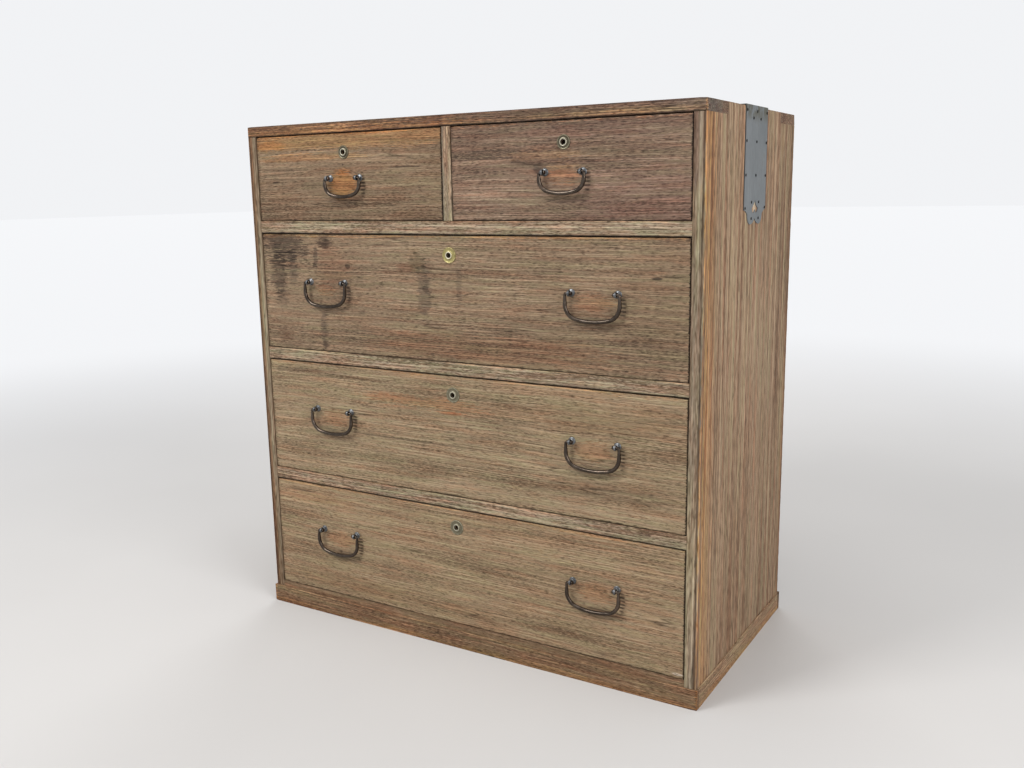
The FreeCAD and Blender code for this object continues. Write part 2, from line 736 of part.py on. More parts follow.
def build_lock(drawer):
    """A lock case on the back of the front, and a bolt that rises through the top of the case."""
    case = drawer_body(drawer, "LockCase", y="front_thickness", z=key_level(drawer))
    outline = new_sketch(case, "XZ_Plane", "LockOutline")
    draw_rectangle(outline, "-lock_width / 2", "lock_width / 2", "-lock_below_key", "lock_above_key")
    pad(case, outline, "lock_depth", backwards=True)
    channel = new_sketch(case, "XY_Plane", "LockChannel", "lock_above_key")
    half = "(bolt_width / 2 + bolt_clearance)"
    draw_rectangle(channel, "-" + half, half, "lock_plate",
                   "lock_plate + bolt_thickness + 2 * bolt_clearance")
    pocket(case, channel, "lock_above_key - (bolt_reach - bolt_length) + bolt_clearance")
    keyhole = new_sketch(case, "XZ_Plane", "LockKeyhole")
    draw_circle(keyhole, "0", "0", "keyhole_radius")
    pocket(case, keyhole, "lock_depth - lock_plate")
    keep(case, drawer.name + "_lock_case")

    bolt = drawer_body(drawer, "LockBolt", y="front_thickness + bolt_front", z=key_level(drawer))
    outline = new_sketch(bolt, "XZ_Plane", "BoltOutline")
    foot, tip = "(bolt_reach - bolt_length)", "bolt_reach"
    bevel = "bolt_thickness / 2"
    draw(outline, [
        ("-bolt_width / 2", foot),
        ("-bolt_notch", foot),
        ("-bolt_notch / 2", foot + " + bolt_notch"),
        ("bolt_notch / 2", foot + " + bolt_notch"),
        ("bolt_notch", foot),
        ("bolt_width / 2", foot),
        ("bolt_width / 2", tip + " - " + bevel),
        ("bolt_width / 2 - " + bevel, tip),
        ("-bolt_width / 2 + " + bevel, tip),
        ("-bolt_width / 2", tip + " - " + bevel),
    ])
    pad(bolt, outline, "bolt_thickness", backwards=True)
    keep(bolt, drawer.name + "_lock_bolt")


def build_handle_posts(drawer):
    """Eye posts: a shank clinched behind the front, a rosette on its face and an eye for the bail."""
    posts = []
    for x in post_spots(drawer):
        root = drawer_spot(drawer, x=x, z=post_level(drawer))
        clinch = turned("Clinch", root, BAR_SIDES, [
            ("clinch_radius", "front_thickness + clinch_thickness"),
            ("clinch_radius", "front_thickness"),
        ])
        shank = turned("Shank", root, BAR_SIDES, [
            ("post_radius", "front_thickness + clinch_thickness / 2"),
            ("post_radius", "eye_middle_radius - post_reach"),
        ])
        rosette = turned("Rosette", root, BAR_SIDES, [
            ("rosette_radius", "0"),
            ("rosette_radius - rosette_thickness", "-rosette_thickness"),
        ])
        middle = drawer_spot(drawer, x=x, y="-post_reach", z=post_level(drawer))
        rim, hole = [skin(name, [
            new_ring(BAR_SIDES, radius, ("%s %s eye_thickness / 2" % (middle[0], side), *middle[1:]),
                     "0; 1; 0", "90deg") for side in "-+"])
            for name, radius in (("EyeRim", "eye_radius"), ("EyeHole", "eye_hole_corner"))]
        eye = doc.addObject("Part::Cut", "Eye")
        eye.Base, eye.Tool = rim, hole
        post = doc.addObject("Part::MultiFuse", "EyePost")
        post.Shapes = [clinch, shank, rosette, eye]
        posts.append(post)
    group(drawer.name + "_handle_posts", posts)


def build_bail(drawer, label, handle):
    """A bar with a bowed grip, tapering limbs, and elbows whose knobbed ends pass through the eyes."""
    half, drop, corner, sweep = [
        drawer.bail + name for name in ("_half_width", "_drop", "_corner", "_sweep")]
    lean = "asin((%s - %s) / (%s - %s))" % (half, corner, sweep, corner)
    shoulder = "(%s - %s - (%s - %s) * cos(%s))" % (sweep, drop, sweep, corner, lean)
    # Half of the bar from the middle of the grip to its knob: x, z, the way it heads and its radius
    line = []
    for step in range(GRIP_STEPS):
        turn = "(%s * %d / %d)" % (lean, step, GRIP_STEPS)
        line.append(("%s * sin(%s)" % (sweep, turn), "%s - %s - %s * cos(%s)" % (sweep, drop, sweep, turn),
                     "90deg - " + turn, "bail_grip_radius"))
    for step in range(BEND_STEPS + 1):
        turn = "(%s + (90deg - %s) * %d / %d)" % (lean, lean, step, BEND_STEPS)
        line.append(("%s - %s + %s * sin(%s)" % (half, corner, corner, turn),
                     "%s - %s * cos(%s)" % (shoulder, corner, turn), "90deg - " + turn, "bail_grip_radius"))
    line.append((half, "-bail_elbow_radius", "0deg", "bail_end_radius"))
    line.append((half + " - bail_elbow_radius", "0", "-90deg", "bail_end_radius"))
    tip = "(%s / 2 - eye_thickness / 2 - bail_side_clearance - bail_knob_length)" % drawer.spacing
    bevel = "(bail_knob_radius - bail_end_radius)"
    for place_in_knob, radius in (("bail_knob_length", "bail_end_radius"),
                                  ("bail_knob_length - " + bevel, "bail_knob_radius"),
                                  (bevel, "bail_knob_radius"), ("0", "bail_end_radius")):
        line.append((tip + " + " + place_in_knob, "0", "-90deg", radius))
    mirrored = [("-(%s)" % x, z, "180deg - (%s)" % heading, radius) for x, z, heading, radius in line[:0:-1]]
    rings = []
    for x, z, heading, radius in mirrored + line:
        spot = drawer_spot(drawer, "%s + %s" % (handle, x), "-post_reach",
                           "%s + %s" % (post_level(drawer), z))
        rings.append(new_ring(BAR_SIDES, radius, spot, "0; 1; 0", heading))
    keep(skin("Bail", rings), label)


def build_drawer(drawer):
    build_drawer_front(drawer)
    build_drawer_box(drawer)
    build_drawer_bottom(drawer)
    build_escutcheon(drawer)
    build_lock(drawer)
    build_handle_posts(drawer)
    if len(drawer.handles) == 1:
        build_bail(drawer, drawer.name + "_bail", drawer.handles[0])
    else:
        for side, handle in zip(("left", "right"), drawer.handles):
            build_bail(drawer, drawer.name + "_" + side + "_bail", handle)


doc.recompute()
build_top_board()
build_side_board("left_side_board", -1)
build_side_board("right_side_board", 1)
build_bottom_board()
for rail_name, rail_index in RAIL_ROWS.items():
    build_front_rail(rail_name + "_rail", rail_index)
    build_dust_board(rail_name + "_dust_board", rail_index)
build_partition()
build_back_boards()
build_base_frame()
build_strap("left_strap", -1)
build_strap("right_strap", 1)
build_strap_nails()
for side_name, side_sign in (("left", "-"), ("right", "")):
    build_drawer(Drawer(side_name + "_small_drawer", side_sign + "small_drawer_x",
                        "under_top - small_opening", "small_opening_width", "small_opening", ["0"],
                        "small_post_spacing", "small_post_height", "small_escutcheon_radius",
                        "small_bail"))
for drawer_name, rail_index in RAIL_ROWS.items():
    build_drawer(Drawer(drawer_name + "_drawer", "0", "floor_level + %d * drawer_pitch" % (rail_index - 1),
                        "inner_width", "wide_opening", ["-wide_handle_offset", "wide_handle_offset"],
                        "wide_post_spacing", "wide_post_height", "wide_escutcheon_radius", "wide_bail"))

doc.recompute()
for item in doc.Objects:
    if "Invalid" in item.State or "Error" in item.State:
        raise RuntimeError(item.Label + " failed: " + str(item.State))
os.makedirs("parts", exist_ok=True)
for item in nodes:
    if item.Shape.isNull() or not item.Shape.isValid():
        raise RuntimeError(item.Label + " has no valid shape")
    item.Shape.exportStep("parts/" + item.Label + ".step")
    print(item.Label, len(item.Shape.Solids), "solids", round(item.Shape.Volume), "mm3")
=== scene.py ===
import math
import bmesh
import bpy
from mathutils import Matrix, Vector


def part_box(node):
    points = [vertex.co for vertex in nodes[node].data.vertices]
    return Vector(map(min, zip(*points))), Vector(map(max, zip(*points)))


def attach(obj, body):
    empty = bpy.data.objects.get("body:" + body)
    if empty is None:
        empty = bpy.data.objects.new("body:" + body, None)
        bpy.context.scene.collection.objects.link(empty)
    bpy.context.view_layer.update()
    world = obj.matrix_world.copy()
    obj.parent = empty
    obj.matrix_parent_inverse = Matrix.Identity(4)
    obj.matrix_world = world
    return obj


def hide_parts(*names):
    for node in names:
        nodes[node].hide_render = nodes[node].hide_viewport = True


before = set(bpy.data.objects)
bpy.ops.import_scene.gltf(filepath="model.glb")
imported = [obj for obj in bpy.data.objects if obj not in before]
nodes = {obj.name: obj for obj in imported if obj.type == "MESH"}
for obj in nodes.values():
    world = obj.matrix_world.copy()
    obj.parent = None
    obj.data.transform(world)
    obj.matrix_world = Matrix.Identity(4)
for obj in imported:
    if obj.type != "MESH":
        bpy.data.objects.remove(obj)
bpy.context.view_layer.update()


# Room
# The chest stands on a plain pale floor in soft light. The camera stands a little over the top of the
# chest and looks down on its front and its right side, as the photographer did.
camera_place = Vector((0.9484, -1.5875, 0.8128))
camera_heading, camera_dip, camera_roll = math.radians(31.176), math.radians(-11.069), math.radians(-0.990)
bpy.ops.object.select_all(action="DESELECT")
bpy.ops.object.camera_add()
camera = bpy.context.object
camera.matrix_world = (Matrix.Translation(camera_place) @ Matrix.Rotation(camera_heading, 4, "Z")
                       @ Matrix.Rotation(math.radians(90) + camera_dip, 4, "X")
                       @ Matrix.Rotation(camera_roll, 4, "Z"))
camera.data.lens = 34.49
camera.data.sensor_width = 36
bpy.context.scene.camera = camera
bpy.context.scene.view_settings.view_transform = "Standard"

for lamp_name, place, aim, size, watts in (
        ("key_lamp", (-1.5, -2.6, 2.7), (0, -0.2, 0.5), 1.3, 64),
        ("right_lamp", (3.2, -1.2, 2.0), (0.3, 0, 0.5), 2.0, 58),
        ("top_lamp", (0.2, -0.6, 3.4), (0, 0, 0.6), 1.6, 24),
        ("back_lamp", (-1.2, 3.0, 2.4), (0, 0.2, 0.5), 2.2, 44)):
    bpy.ops.object.light_add(type="AREA", location=place)
    lamp = bpy.context.object
    lamp.name = lamp_name
    lamp.rotation_euler = (Vector(aim) - Vector(place)).to_track_quat("-Z", "Y").to_euler()
    lamp.data.size = size
    lamp.data.energy = watts


class Wire:
    """An output of a shader node. Python's signs join it to others through Math nodes."""

    def __init__(self, finish, socket):
        self.finish, self.socket = finish, socket

    def math(self, operation, *values):
        return self.finish.node("Math", {"operation": operation}, dict(enumerate(values)))

    def __add__(self, other):
        return self.math("ADD", self, other)

    def __sub__(self, other):
        return self.math("SUBTRACT", self, other)

    def __rsub__(self, other):
        return self.math("SUBTRACT", other, self)

    def __mul__(self, other):
        return self.math("MULTIPLY", self, other)

    def __truediv__(self, other):
        return self.math("DIVIDE", self, other)

    def __pow__(self, other):
        return self.math("POWER", self, other)

    def __abs__(self):
        return self.math("ABSOLUTE", self)

    __radd__, __rmul__ = __add__, __mul__

    def least(self, other):
        return self.math("MINIMUM", self, other)

    def step(self, low, high):
        """Rises smoothly from 0 at low to 1 at high, or falls where low is the larger."""
        falls = low > high
        limits = {"From Min": min(low, high), "From Max": max(low, high), "To Min": float(falls),
                  "To Max": float(not falls)}
        return self.finish.node("MapRange", {"interpolation_type": "SMOOTHSTEP"}, {"Value": self, **limits})


class Finish:
    """A material under construction."""

    def __init__(self, name, **constants):
        self.material = bpy.data.materials.new(name)
        self.material.use_nodes = True
        self.tree = self.material.node_tree
        self.shader = self.tree.nodes["Principled BSDF"]
        for socket, value in constants.items():
            self.shader.inputs[socket.replace("_", " ")].default_value = value
        self.place = self.node("TexCoord", output="Object")

    def node(self, kind, settings=None, sockets=None, output=0):
        """Adds a shader node with these settings, feeds its sockets and gives one of its outputs."""
        made = self.tree.nodes.new("ShaderNode" + kind)
        for setting, value in (settings or {}).items():
            if setting == "stops":
                while len(made.color_ramp.elements) < len(value):
                    made.color_ramp.elements.new(1)
                for element, (position, colour) in zip(made.color_ramp.elements, value):
                    element.position, element.color = position, (*colour, 1)
            else:
                setattr(made, setting, value)
        for socket, value in (sockets or {}).items():
            if isinstance(value, Wire):
                self.tree.links.new(value.socket, made.inputs[socket])
            elif isinstance(value, tuple) and made.inputs[socket].type == "RGBA":
                made.inputs[socket].default_value = (*value, 1)
            else:
                made.inputs[socket].default_value = value
        return Wire(self, made.outputs[output])

    def axes(self):
        """The x, y and z of the place that is being coloured, in metres."""
        parts = self.node("SeparateXYZ", sockets={0: self.place})
        return [Wire(self, socket) for socket in parts.socket.node.outputs]

    def noise(self, along, across, through, detail=2.0, roughness=0.5):
        point = self.node("CombineXYZ", sockets={0: along, 1: across, 2: through})
        return self.node("TexNoise", sockets={"Vector": point, "Scale": 1.0, "Detail": detail,
                                              "Roughness": roughness})

    def mix(self, one, other, share, blend="MIX"):
        settings = {"data_type": "RGBA", "blend_type": blend}
        return self.node("Mix", settings, {0: share, 6: one, 7: other}, output=2)

    def ramp(self, value, *stops):
        return self.node("ValToRGB", {"stops": stops}, {0: value})

    def lead(self, **changing):
        """Leads wires into the shader's sockets."""
        for socket, value in changing.items():
            self.tree.links.new(value.socket, self.shader.inputs[socket.replace("_", " ")])

    def relief(self, height, depth):
        """Roughens the surface by a height, where 1 stands this depth in metres over 0."""
        self.lead(Normal=self.node("Bump", sockets={"Height": height, "Distance": depth, "Strength": 1.0}))

    def put_on(self, *pieces):
        for piece in pieces:
            piece.data.materials.clear()
            piece.data.materials.append(self.material)


haze, unlit = (0.93, 0.94, 0.96), (0.0, 0.0, 0.0)
room_light, seen_light = 0.5, 0.95
fade_start, fade_end = 0.9, 4.2
bpy.ops.mesh.primitive_plane_add(size=80)
floor = bpy.context.object
floor.name = "studio_floor"
paving = Finish("pale_floor", Roughness=0.9, Specular_IOR_Level=0.1, Emission_Strength=seen_light)
x, y, z = paving.axes()
far_off = ((x * x + y * y) ** 0.5).step(fade_start, fade_end)
stone = paving.mix((0.60, 0.585, 0.57), (0.66, 0.645, 0.63), paving.noise(x * 1.3, y * 1.3, z, 3))
paving.lead(Base_Color=paving.mix(stone, unlit, far_off),
            Emission_Color=paving.mix(unlit, haze, far_off))
paving.put_on(floor)

world = bpy.data.worlds.new("pale_room")
bpy.context.scene.world = world
world.use_nodes = True
sky = world.node_tree.nodes["Background"]
sky.inputs["Color"].default_value = (*haze, 1)
rays = world.node_tree.nodes.new("ShaderNodeLightPath")
seen = rays.outputs["Is Camera Ray"]
for ray in ("Is Glossy Ray", "Is Transmission Ray"):
    either = world.node_tree.nodes.new("ShaderNodeMath")
    either.operation = "MAXIMUM"
    world.node_tree.links.new(seen, either.inputs[0])
    world.node_tree.links.new(rays.outputs[ray], either.inputs[1])
    seen = either.outputs[0]
level = world.node_tree.nodes.new("ShaderNodeMapRange")
level.inputs["To Min"].default_value = room_light
level.inputs["To Max"].default_value = seen_light
world.node_tree.links.new(seen, level.inputs["Value"])
world.node_tree.links.new(level.outputs[0], sky.inputs["Strength"])


# Base frame
# Four low rails of softwood like the case's, lapped at the corners under it. Feet and brooms have kept
# them darker and redder than the boards above, and have rubbed their top arris and their corners.
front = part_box("right_side_board")[0].y
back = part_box("right_side_board")[1].y
half_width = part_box("right_side_board")[1].x
chest_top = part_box("top_board")[1].z
# Raw orange is wood rubbed bare. The second colour is painted shade deep inside the gaps between the
# drawers and the case, and the third is painted shade on the arrises beside those gaps.
raw_orange, deep_gap_shade, gap_edge_shade = (1.50, 1.12, 0.74), (0.10, 0.09, 0.09), (0.05, 0.045, 0.045)


def pick(*pieces):
    """Selects these pieces alone, the first of them as the active one."""
    bpy.ops.object.select_all(action="DESELECT")
    for piece in pieces:
        piece.select_set(True)
    bpy.context.view_layer.objects.active = pieces[0]


def copy_of(node, name):
    """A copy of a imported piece, left in edit mode with its facets joined into whole faces."""
    piece = bpy.data.objects.new(name, nodes[node].data.copy())
    bpy.context.collection.objects.link(piece)
    pick(piece)
    bpy.ops.object.mode_set(mode="EDIT")
    bpy.ops.mesh.select_mode(type="EDGE")
    bpy.ops.mesh.select_all(action="SELECT")
    bpy.ops.mesh.remove_doubles(threshold=0.00001)
    bpy.ops.mesh.dissolve_limited(angle_limit=math.radians(1))
    return piece


def worn_board(node, body, *arrises, pitch=0.008, ragged=0.7):
    """Stands for a packed board, with arrises rubbed round. Each of these is a test of a place, and how
    far the rubbing reaches from the arris there. The board is first cut across every pitch, so that
    the rubbing can ripple."""
    board = copy_of(node, node + "_worn")
    low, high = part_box(node)
    shortest_cut, sharp = 0.06, 0.6
    for axis in (0, 1, 2):
        length = high[axis] - low[axis]
        for cut in range(1, int(length / pitch) if length > shortest_cut else 0):
            point, normal = low.copy(), Vector((0, 0, 0))
            point[axis] += cut * pitch
            normal[axis] = 1
            bpy.ops.mesh.select_all(action="SELECT")
            bpy.ops.mesh.bisect(plane_co=point, plane_no=normal)
    for is_arris, reach in arrises:
        bpy.ops.mesh.select_all(action="DESELECT")
        shape = bmesh.from_edit_mesh(board.data)
        for edge in shape.edges:
            middle = (edge.verts[0].co + edge.verts[1].co) / 2
            if len(edge.link_faces) == 2 and edge.calc_face_angle() > sharp and is_arris(middle):
                edge.select_set(True)
        bmesh.update_edit_mesh(board.data)
        bpy.ops.mesh.bevel(offset=reach, segments=4, affect="EDGES", clamp_overlap=True)
        bpy.ops.object.vertex_group_assign_new()
        bpy.ops.object.mode_set(mode="OBJECT")
        ripple = bpy.data.textures.new(node + "_ripple", "CLOUDS")
        ripple.noise_scale = 0.010
        ripple.noise_depth = 1
        wear = board.modifiers.new("wear", "DISPLACE")
        wear.texture = ripple
        wear.vertex_group = board.vertex_groups[-1].name
        wear.mid_level = 1.0
        wear.strength = reach * ragged
        bpy.ops.object.modifier_apply(modifier=wear.name)
        bpy.ops.object.mode_set(mode="EDIT")
    bpy.ops.object.mode_set(mode="OBJECT")
    board.vertex_groups.clear()
    board.data.materials.clear()
    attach(board, body)
    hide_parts(node)
    return board


def brushed_wood(name, grain, shades, seed, pitch=0.0018, contrast=1.0, stripe=0.3, drift=1.0, length=1.0,
                 marks=(), relief=0.0005):
    """Softwood scrubbed until its hard lines stood up, then darkened unevenly by age. The grain runs
    along the axis named. Shades are its dark, middle and light colours, stripe is how much it is
    striped, drift how far it wanders between olive and pink, and length how long its lines run. A mark
    is a stain, a rubbed place, a patina or a painted shade: where it is from 0 to 1, how it tints the
    wood, its share, and how raggedly it ends."""
    wood = Finish(name, Roughness=0.8, Specular_IOR_Level=0.2)
    x, y, z = wood.axes()
    along, across, through = {"x": (x, z, y), "y": (y, z, x), "z": (z, y, x)}[grain]
    along = (along + seed * 3.7) / length
    across = across + (wood.noise(along * 2.4, across * 8, through * 8 + seed, 2) - 0.5) * 0.012
    across = across + (wood.noise(along * 17, across * 50, through * 40, 1) - 0.5) * 0.0015
    rings = 1 / pitch
    fray_start, fray_end = 0.25, 0.80
    band = wood.noise(along * 1.1, across * 26, through * 20, 2)
    line = wood.noise(along * 5.5, across * rings, through * rings, 2.5, 0.6)
    fibre = wood.noise(along * 120, across * rings * 1.35, through * rings * 1.35, 2)
    dash = wood.noise(along * 95, across * rings * 0.85, through * rings * 0.85, 2)
    streak = wood.noise(along * 6.5, across * 95, through * 75, 2)
    hue = wood.noise(along * 30, across * 210, through * 210, 2)
    cloud = wood.noise(along * 5, across * 9, through * 9, 3)
    groove = (1 - abs(line - 0.5) * 14).step(0.0, 1.0) * fibre.step(0.34, 0.52)
    crack = (1 - abs(wood.noise(along * 2.6, across * 75, through * 75, 1) - 0.5) * 75).step(0.0, 1.0)
    crack = crack * cloud.step(0.50, 0.60)
    notch = dash.step(0.57, 0.70)
    tone = (0.5 + (line - 0.5) * (1.25 * contrast) + (fibre - 0.5) * (1.35 * contrast)
            + (streak - 0.5) * stripe + (band - 0.5) * 0.45 + (cloud - 0.5) * 0.40)
    dark, middle, light = shades
    colour = wood.ramp(tone, (0.20, dark), (0.48, middle), (0.92, light))
    warm, cool = (1.08, 0.965, 0.925), (0.945, 1.008, 0.94)
    colour = wood.mix(colour, warm, streak.step(0.50, 0.34) * drift, "MULTIPLY")
    colour = wood.mix(colour, cool, streak.step(0.50, 0.66) * drift, "MULTIPLY")
    colour = wood.mix(colour, warm, hue.step(0.50, 0.34) * (0.7 * drift), "MULTIPLY")
    colour = wood.mix(colour, cool, hue.step(0.50, 0.66) * (0.7 * drift), "MULTIPLY")
    colour = wood.mix(colour, (0.33, 0.30, 0.30), groove * (0.56 * contrast), "MULTIPLY")
    colour = wood.mix(colour, (0.24, 0.21, 0.21), notch * (0.56 * contrast), "MULTIPLY")
    colour = wood.mix(colour, (0.26, 0.23, 0.23), crack * 0.75, "MULTIPLY")
    colour = wood.mix(colour, (1.30, 1.26, 1.20), dash.step(0.40, 0.28) * (0.6 * contrast), "MULTIPLY")
    frays = (dash - 0.5) * 0.9 + (fibre - 0.5) * 0.7 + (line - 0.5) * 1.3 + (cloud - 0.5) * 0.9
    for field, tint, share, ragged in marks:
        reach = field(x, y, z)
        if ragged:
            reach = reach + frays * ragged
        colour = wood.mix(colour, tint, reach.step(fray_start, fray_end) * share, "MULTIPLY")
    wood.lead(Base_Color=colour, Roughness=0.72 + tone * 0.2)
    wood.relief(line * 0.9 + fibre * 0.5 - groove * 0.5 - notch * 0.6 - crack * 0.8, relief)
    return wood


def near(axis, level, reach):
    """1 at a level on an axis and 0.5 at this reach from it."""
    return lambda x, y, z: 1 - abs((x, y, z)["xyz".index(axis)] - level) / (reach * 2)


def corner(*fields):
    """Where all of these fields are high."""
    def least(x, y, z):
        value = fields[0](x, y, z)
        for field in fields[1:]:
            value = value.least(field(x, y, z))
        return value
    return least


def at(place, level, reach=0.0006):
    """Whether a place is within this reach of a level."""
    return abs(place - level) < reach


base_low, base_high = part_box("base_long_rails")
base_corner = corner(lambda x, y, z: 1 - abs(abs(x) - base_high.x) / 0.006, near("y", base_low.y, 0.0030))
base_marks = [
    (corner(near("z", base_high.z, 0.0016), near("y", base_low.y, 0.0030)), (1.35, 1.25, 1.15), 0.6, 1.2),
    (lambda x, y, z: 1 - z / 0.016, (1.12, 0.94, 0.70), 0.8, 1.2),
    (base_corner, raw_orange, 0.70, 1.4),
]
base_arrises = [
    (lambda p: at(p.z, base_high.z) and (at(p.y, base_low.y) or at(abs(p.x), base_high.x)), 0.0010),
    (lambda p: at(abs(p.x), base_high.x) and at(p.y, base_low.y) and p.z > 0.001, 0.0022),
]
for run, axis, seed, shades in (
        ("long", "x", 1.3, ((0.096, 0.055, 0.031), (0.242, 0.150, 0.085), (0.400, 0.268, 0.160))),
        ("side", "y", 2.1, ((0.172, 0.105, 0.060), (0.385, 0.248, 0.148), (0.570, 0.400, 0.254)))):
    base_wood = brushed_wood("base_" + run + "_wood", axis, shades, seed, contrast=1.2, marks=base_marks)
    base_wood.put_on(worn_board("base_" + run + "_rails", "carcass", *base_arrises))


# Case sides and bottom
# Each side is one wide board with its grain upright, streaked brown, olive and pink. Its outer front
# arris is rubbed down to raw orange wood, and its front edge has gone paler than its face.
heart_y, heart_z = (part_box("right_strap")[0].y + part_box("right_strap")[1].y) / 2, 0.783


def outer_face(depth):
    """1 on the outer face of a side and 0.5 this deep under it."""
    return lambda x, y, z: 1 - (half_width - abs(x)) / (depth * 2)


def side_arris(width):
    """1 at the outer faces of both sides and 0 this far from them."""
    return lambda x, y, z: 1 - abs(abs(x) - half_width) / width


def end_grain(x, y, z):
    """More than 1 on the ends that come through the sides, and 0.5 a millimetre under them."""
    return (abs(x) - half_width + 0.0010) / 0.001 + 0.5


side_face, front_edge = outer_face(0.002), near("y", front, 0.003)
right_edge = corner(lambda x, y, z: (x - 0.2) / 0.1, front_edge)
outer_arris = corner(side_arris(0.0036), near("y", front, 0.0020))
side_marks = [
    (lambda x, y, z: (front + 0.0008 - y) / 0.001 + 0.5, (0.875, 1.02, 1.08), 0.9, 0.3),
    (corner(lambda x, y, z: (0.2 - x) / 0.1, front_edge), (0.96, 0.96, 0.95), 0.95, 0.0),
    (corner(lambda x, y, z: (-half_width + 0.011 - x) / 0.003, front_edge), (0.98, 0.74, 0.62), 0.85, 1.5),
    (corner(side_face, near("y", front + 0.008, 0.010), lambda x, y, z: z * 1.6),
     (1.12, 0.97, 0.76), 0.80, 1.5),
    (corner(side_face, near("y", front + 0.028, 0.016)), (1.10, 0.94, 0.74), 0.80, 1.5),
    (corner(side_face, lambda x, y, z: (y - front - 0.19) / 0.06), (0.91, 0.91, 0.91), 0.95, 0.3),
    (corner(side_face, near("y", back, 0.020)), (0.86, 0.74, 0.60), 0.75, 1.2),
    (corner(right_edge, lambda x, y, z: (0.793 - z) / 0.24), (1.14, 1.15, 1.22), 0.95, 0.3),
    (corner(right_edge, near("z", 0.24, 0.11)), (1.28, 1.28, 1.22), 0.95, 0.3),
    (corner(right_edge, lambda x, y, z: (z - 0.760) / 0.120), (0.78, 0.69, 0.75), 0.95, 0.6),
    (corner(side_arris(0.006), near("y", front, 0.005), lambda x, y, z: (0.70 - z) / 0.16),
     (0.58, 0.64, 0.78), 0.90, 0.6),
    (corner(side_face, near("y", back, 0.003)), (0.50, 0.46, 0.44), 0.70, 1.5),
    (corner(lambda x, y, z: 1 - abs(abs(x) - half_width + 0.0040) / 0.0034, near("y", front, 0.0016)),
     (0.30, 0.26, 0.25), 0.90, 1.0),
    (outer_arris, raw_orange, 0.48, 2.4),
    (corner(side_arris(0.0030), near("y", front, 0.0014)), (1.30, 1.26, 1.16), 0.80, 1.4),
    (corner(side_face, near("y", heart_y, 0.010), near("z", heart_z, 0.016)),
     (1.75, 1.95, 2.25), 0.95, 0.2),
    (near("z", chest_top, 0.0012), (0.60, 0.56, 0.56), 0.85, 1.0),
    # Painted shade on the sides' inner faces, deep in the gaps beside the drawers.
    (corner(near("y", front + 0.0065, 0.0045),
            lambda x, y, z: (half_width - 0.0185 - abs(x)) / 0.002 + 0.5), deep_gap_shade, 0.95, 0.0),
]
side_shades = ((0.133, 0.079, 0.044), (0.325, 0.215, 0.134), (0.490, 0.355, 0.239))
case_arrises = [
    (lambda p: at(abs(p.x), half_width) and at(p.y, front), 0.0024),
    (lambda p: at(p.z, chest_top) and (
        at(abs(p.x), half_width) or at(p.y, front) or at(p.y, back)), 0.0014),
    (lambda p: at(abs(p.x), half_width) and at(p.y, back), 0.0016),
    (lambda p: at(p.y, front) and not at(p.z, chest_top, 0.003) and abs(p.x) < half_width - 0.004, 0.0009),
]
for side, seed in (("left", 4.1), ("right", 7.7)):
    side_wood = brushed_wood(side + "_side_wood", "z", side_shades, seed, pitch=0.0034, contrast=0.86,
                             stripe=0.80, length=2.4, marks=side_marks)
    side_wood.put_on(worn_board(side + "_side_board", "carcass", *case_arrises))
shelf_shades = ((0.20, 0.135, 0.085), (0.36, 0.270, 0.180), (0.50, 0.39, 0.27))
bottom_shades = ((0.090, 0.052, 0.030), (0.225, 0.142, 0.082), (0.36, 0.245, 0.150))
brushed_wood("bottom_board_wood", "x", bottom_shades, 3.3).put_on(nodes["bottom_board"])


# Front rails, partition and dust boards
# The rails between the drawers are pale and greenish, pitted with short dark flecks, and so is the
# partition. Each rail is mortised below for a lock bolt, and carries the thin board that the drawer
# above it runs on.
rail_shades = ((0.138, 0.093, 0.057), (0.371, 0.278, 0.187), (0.530, 0.413, 0.294))
# Painted shade deep in the gaps, on the sides of the rails and the partition.
gap_shade_mark = (near("y", front + 0.0065, 0.0045), deep_gap_shade, 0.95, 0.0)
rubbed_front = (lambda p: at(p.y, front), 0.0009)
for index, rail in enumerate(("lower", "middle", "upper")):
    low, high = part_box(rail + "_rail")
    rail_marks = [
        (corner(near("z", high.z, 0.0012), front_edge), (1.30, 1.15, 0.95), 0.6, 1.6),
        # Painted shade along the rail's lower arris, beside the gap over the drawer below it.
        (corner(near("z", low.z, 0.0019), front_edge), gap_edge_shade, 0.95, 0.5),
        gap_shade_mark,
    ]
    rail_wood = brushed_wood(rail + "_rail_wood", "x", rail_shades, 11.0 + index, pitch=0.0019,
                             contrast=1.3, drift=1.5, marks=rail_marks)
    rail_wood.put_on(worn_board(rail + "_rail", "carcass", rubbed_front))
    dust_wood = brushed_wood(rail + "_dust_wood", "x", shelf_shades, 21.0 + index, pitch=0.006,
                             contrast=0.6)
    dust_wood.put_on(nodes[rail + "_dust_board"])
partition_marks = [
    (near("x", -0.0080, 0.0022), (0.60, 0.60, 0.64), 0.90, 0.5),
    (near("x", 0.0004, 0.0010), (0.56, 0.54, 0.54), 0.90, 0.5),
    (near("x", 0.0036, 0.0010), (1.22, 1.20, 1.14), 0.80, 0.6),
    gap_shade_mark,
]
partition_wood = brushed_wood("partition_wood", "z", rail_shades, 15.5, pitch=0.0024, contrast=1.25,
                              drift=1.3, marks=partition_marks)
partition_wood.put_on(worn_board("centre_partition", "carcass", rubbed_front))


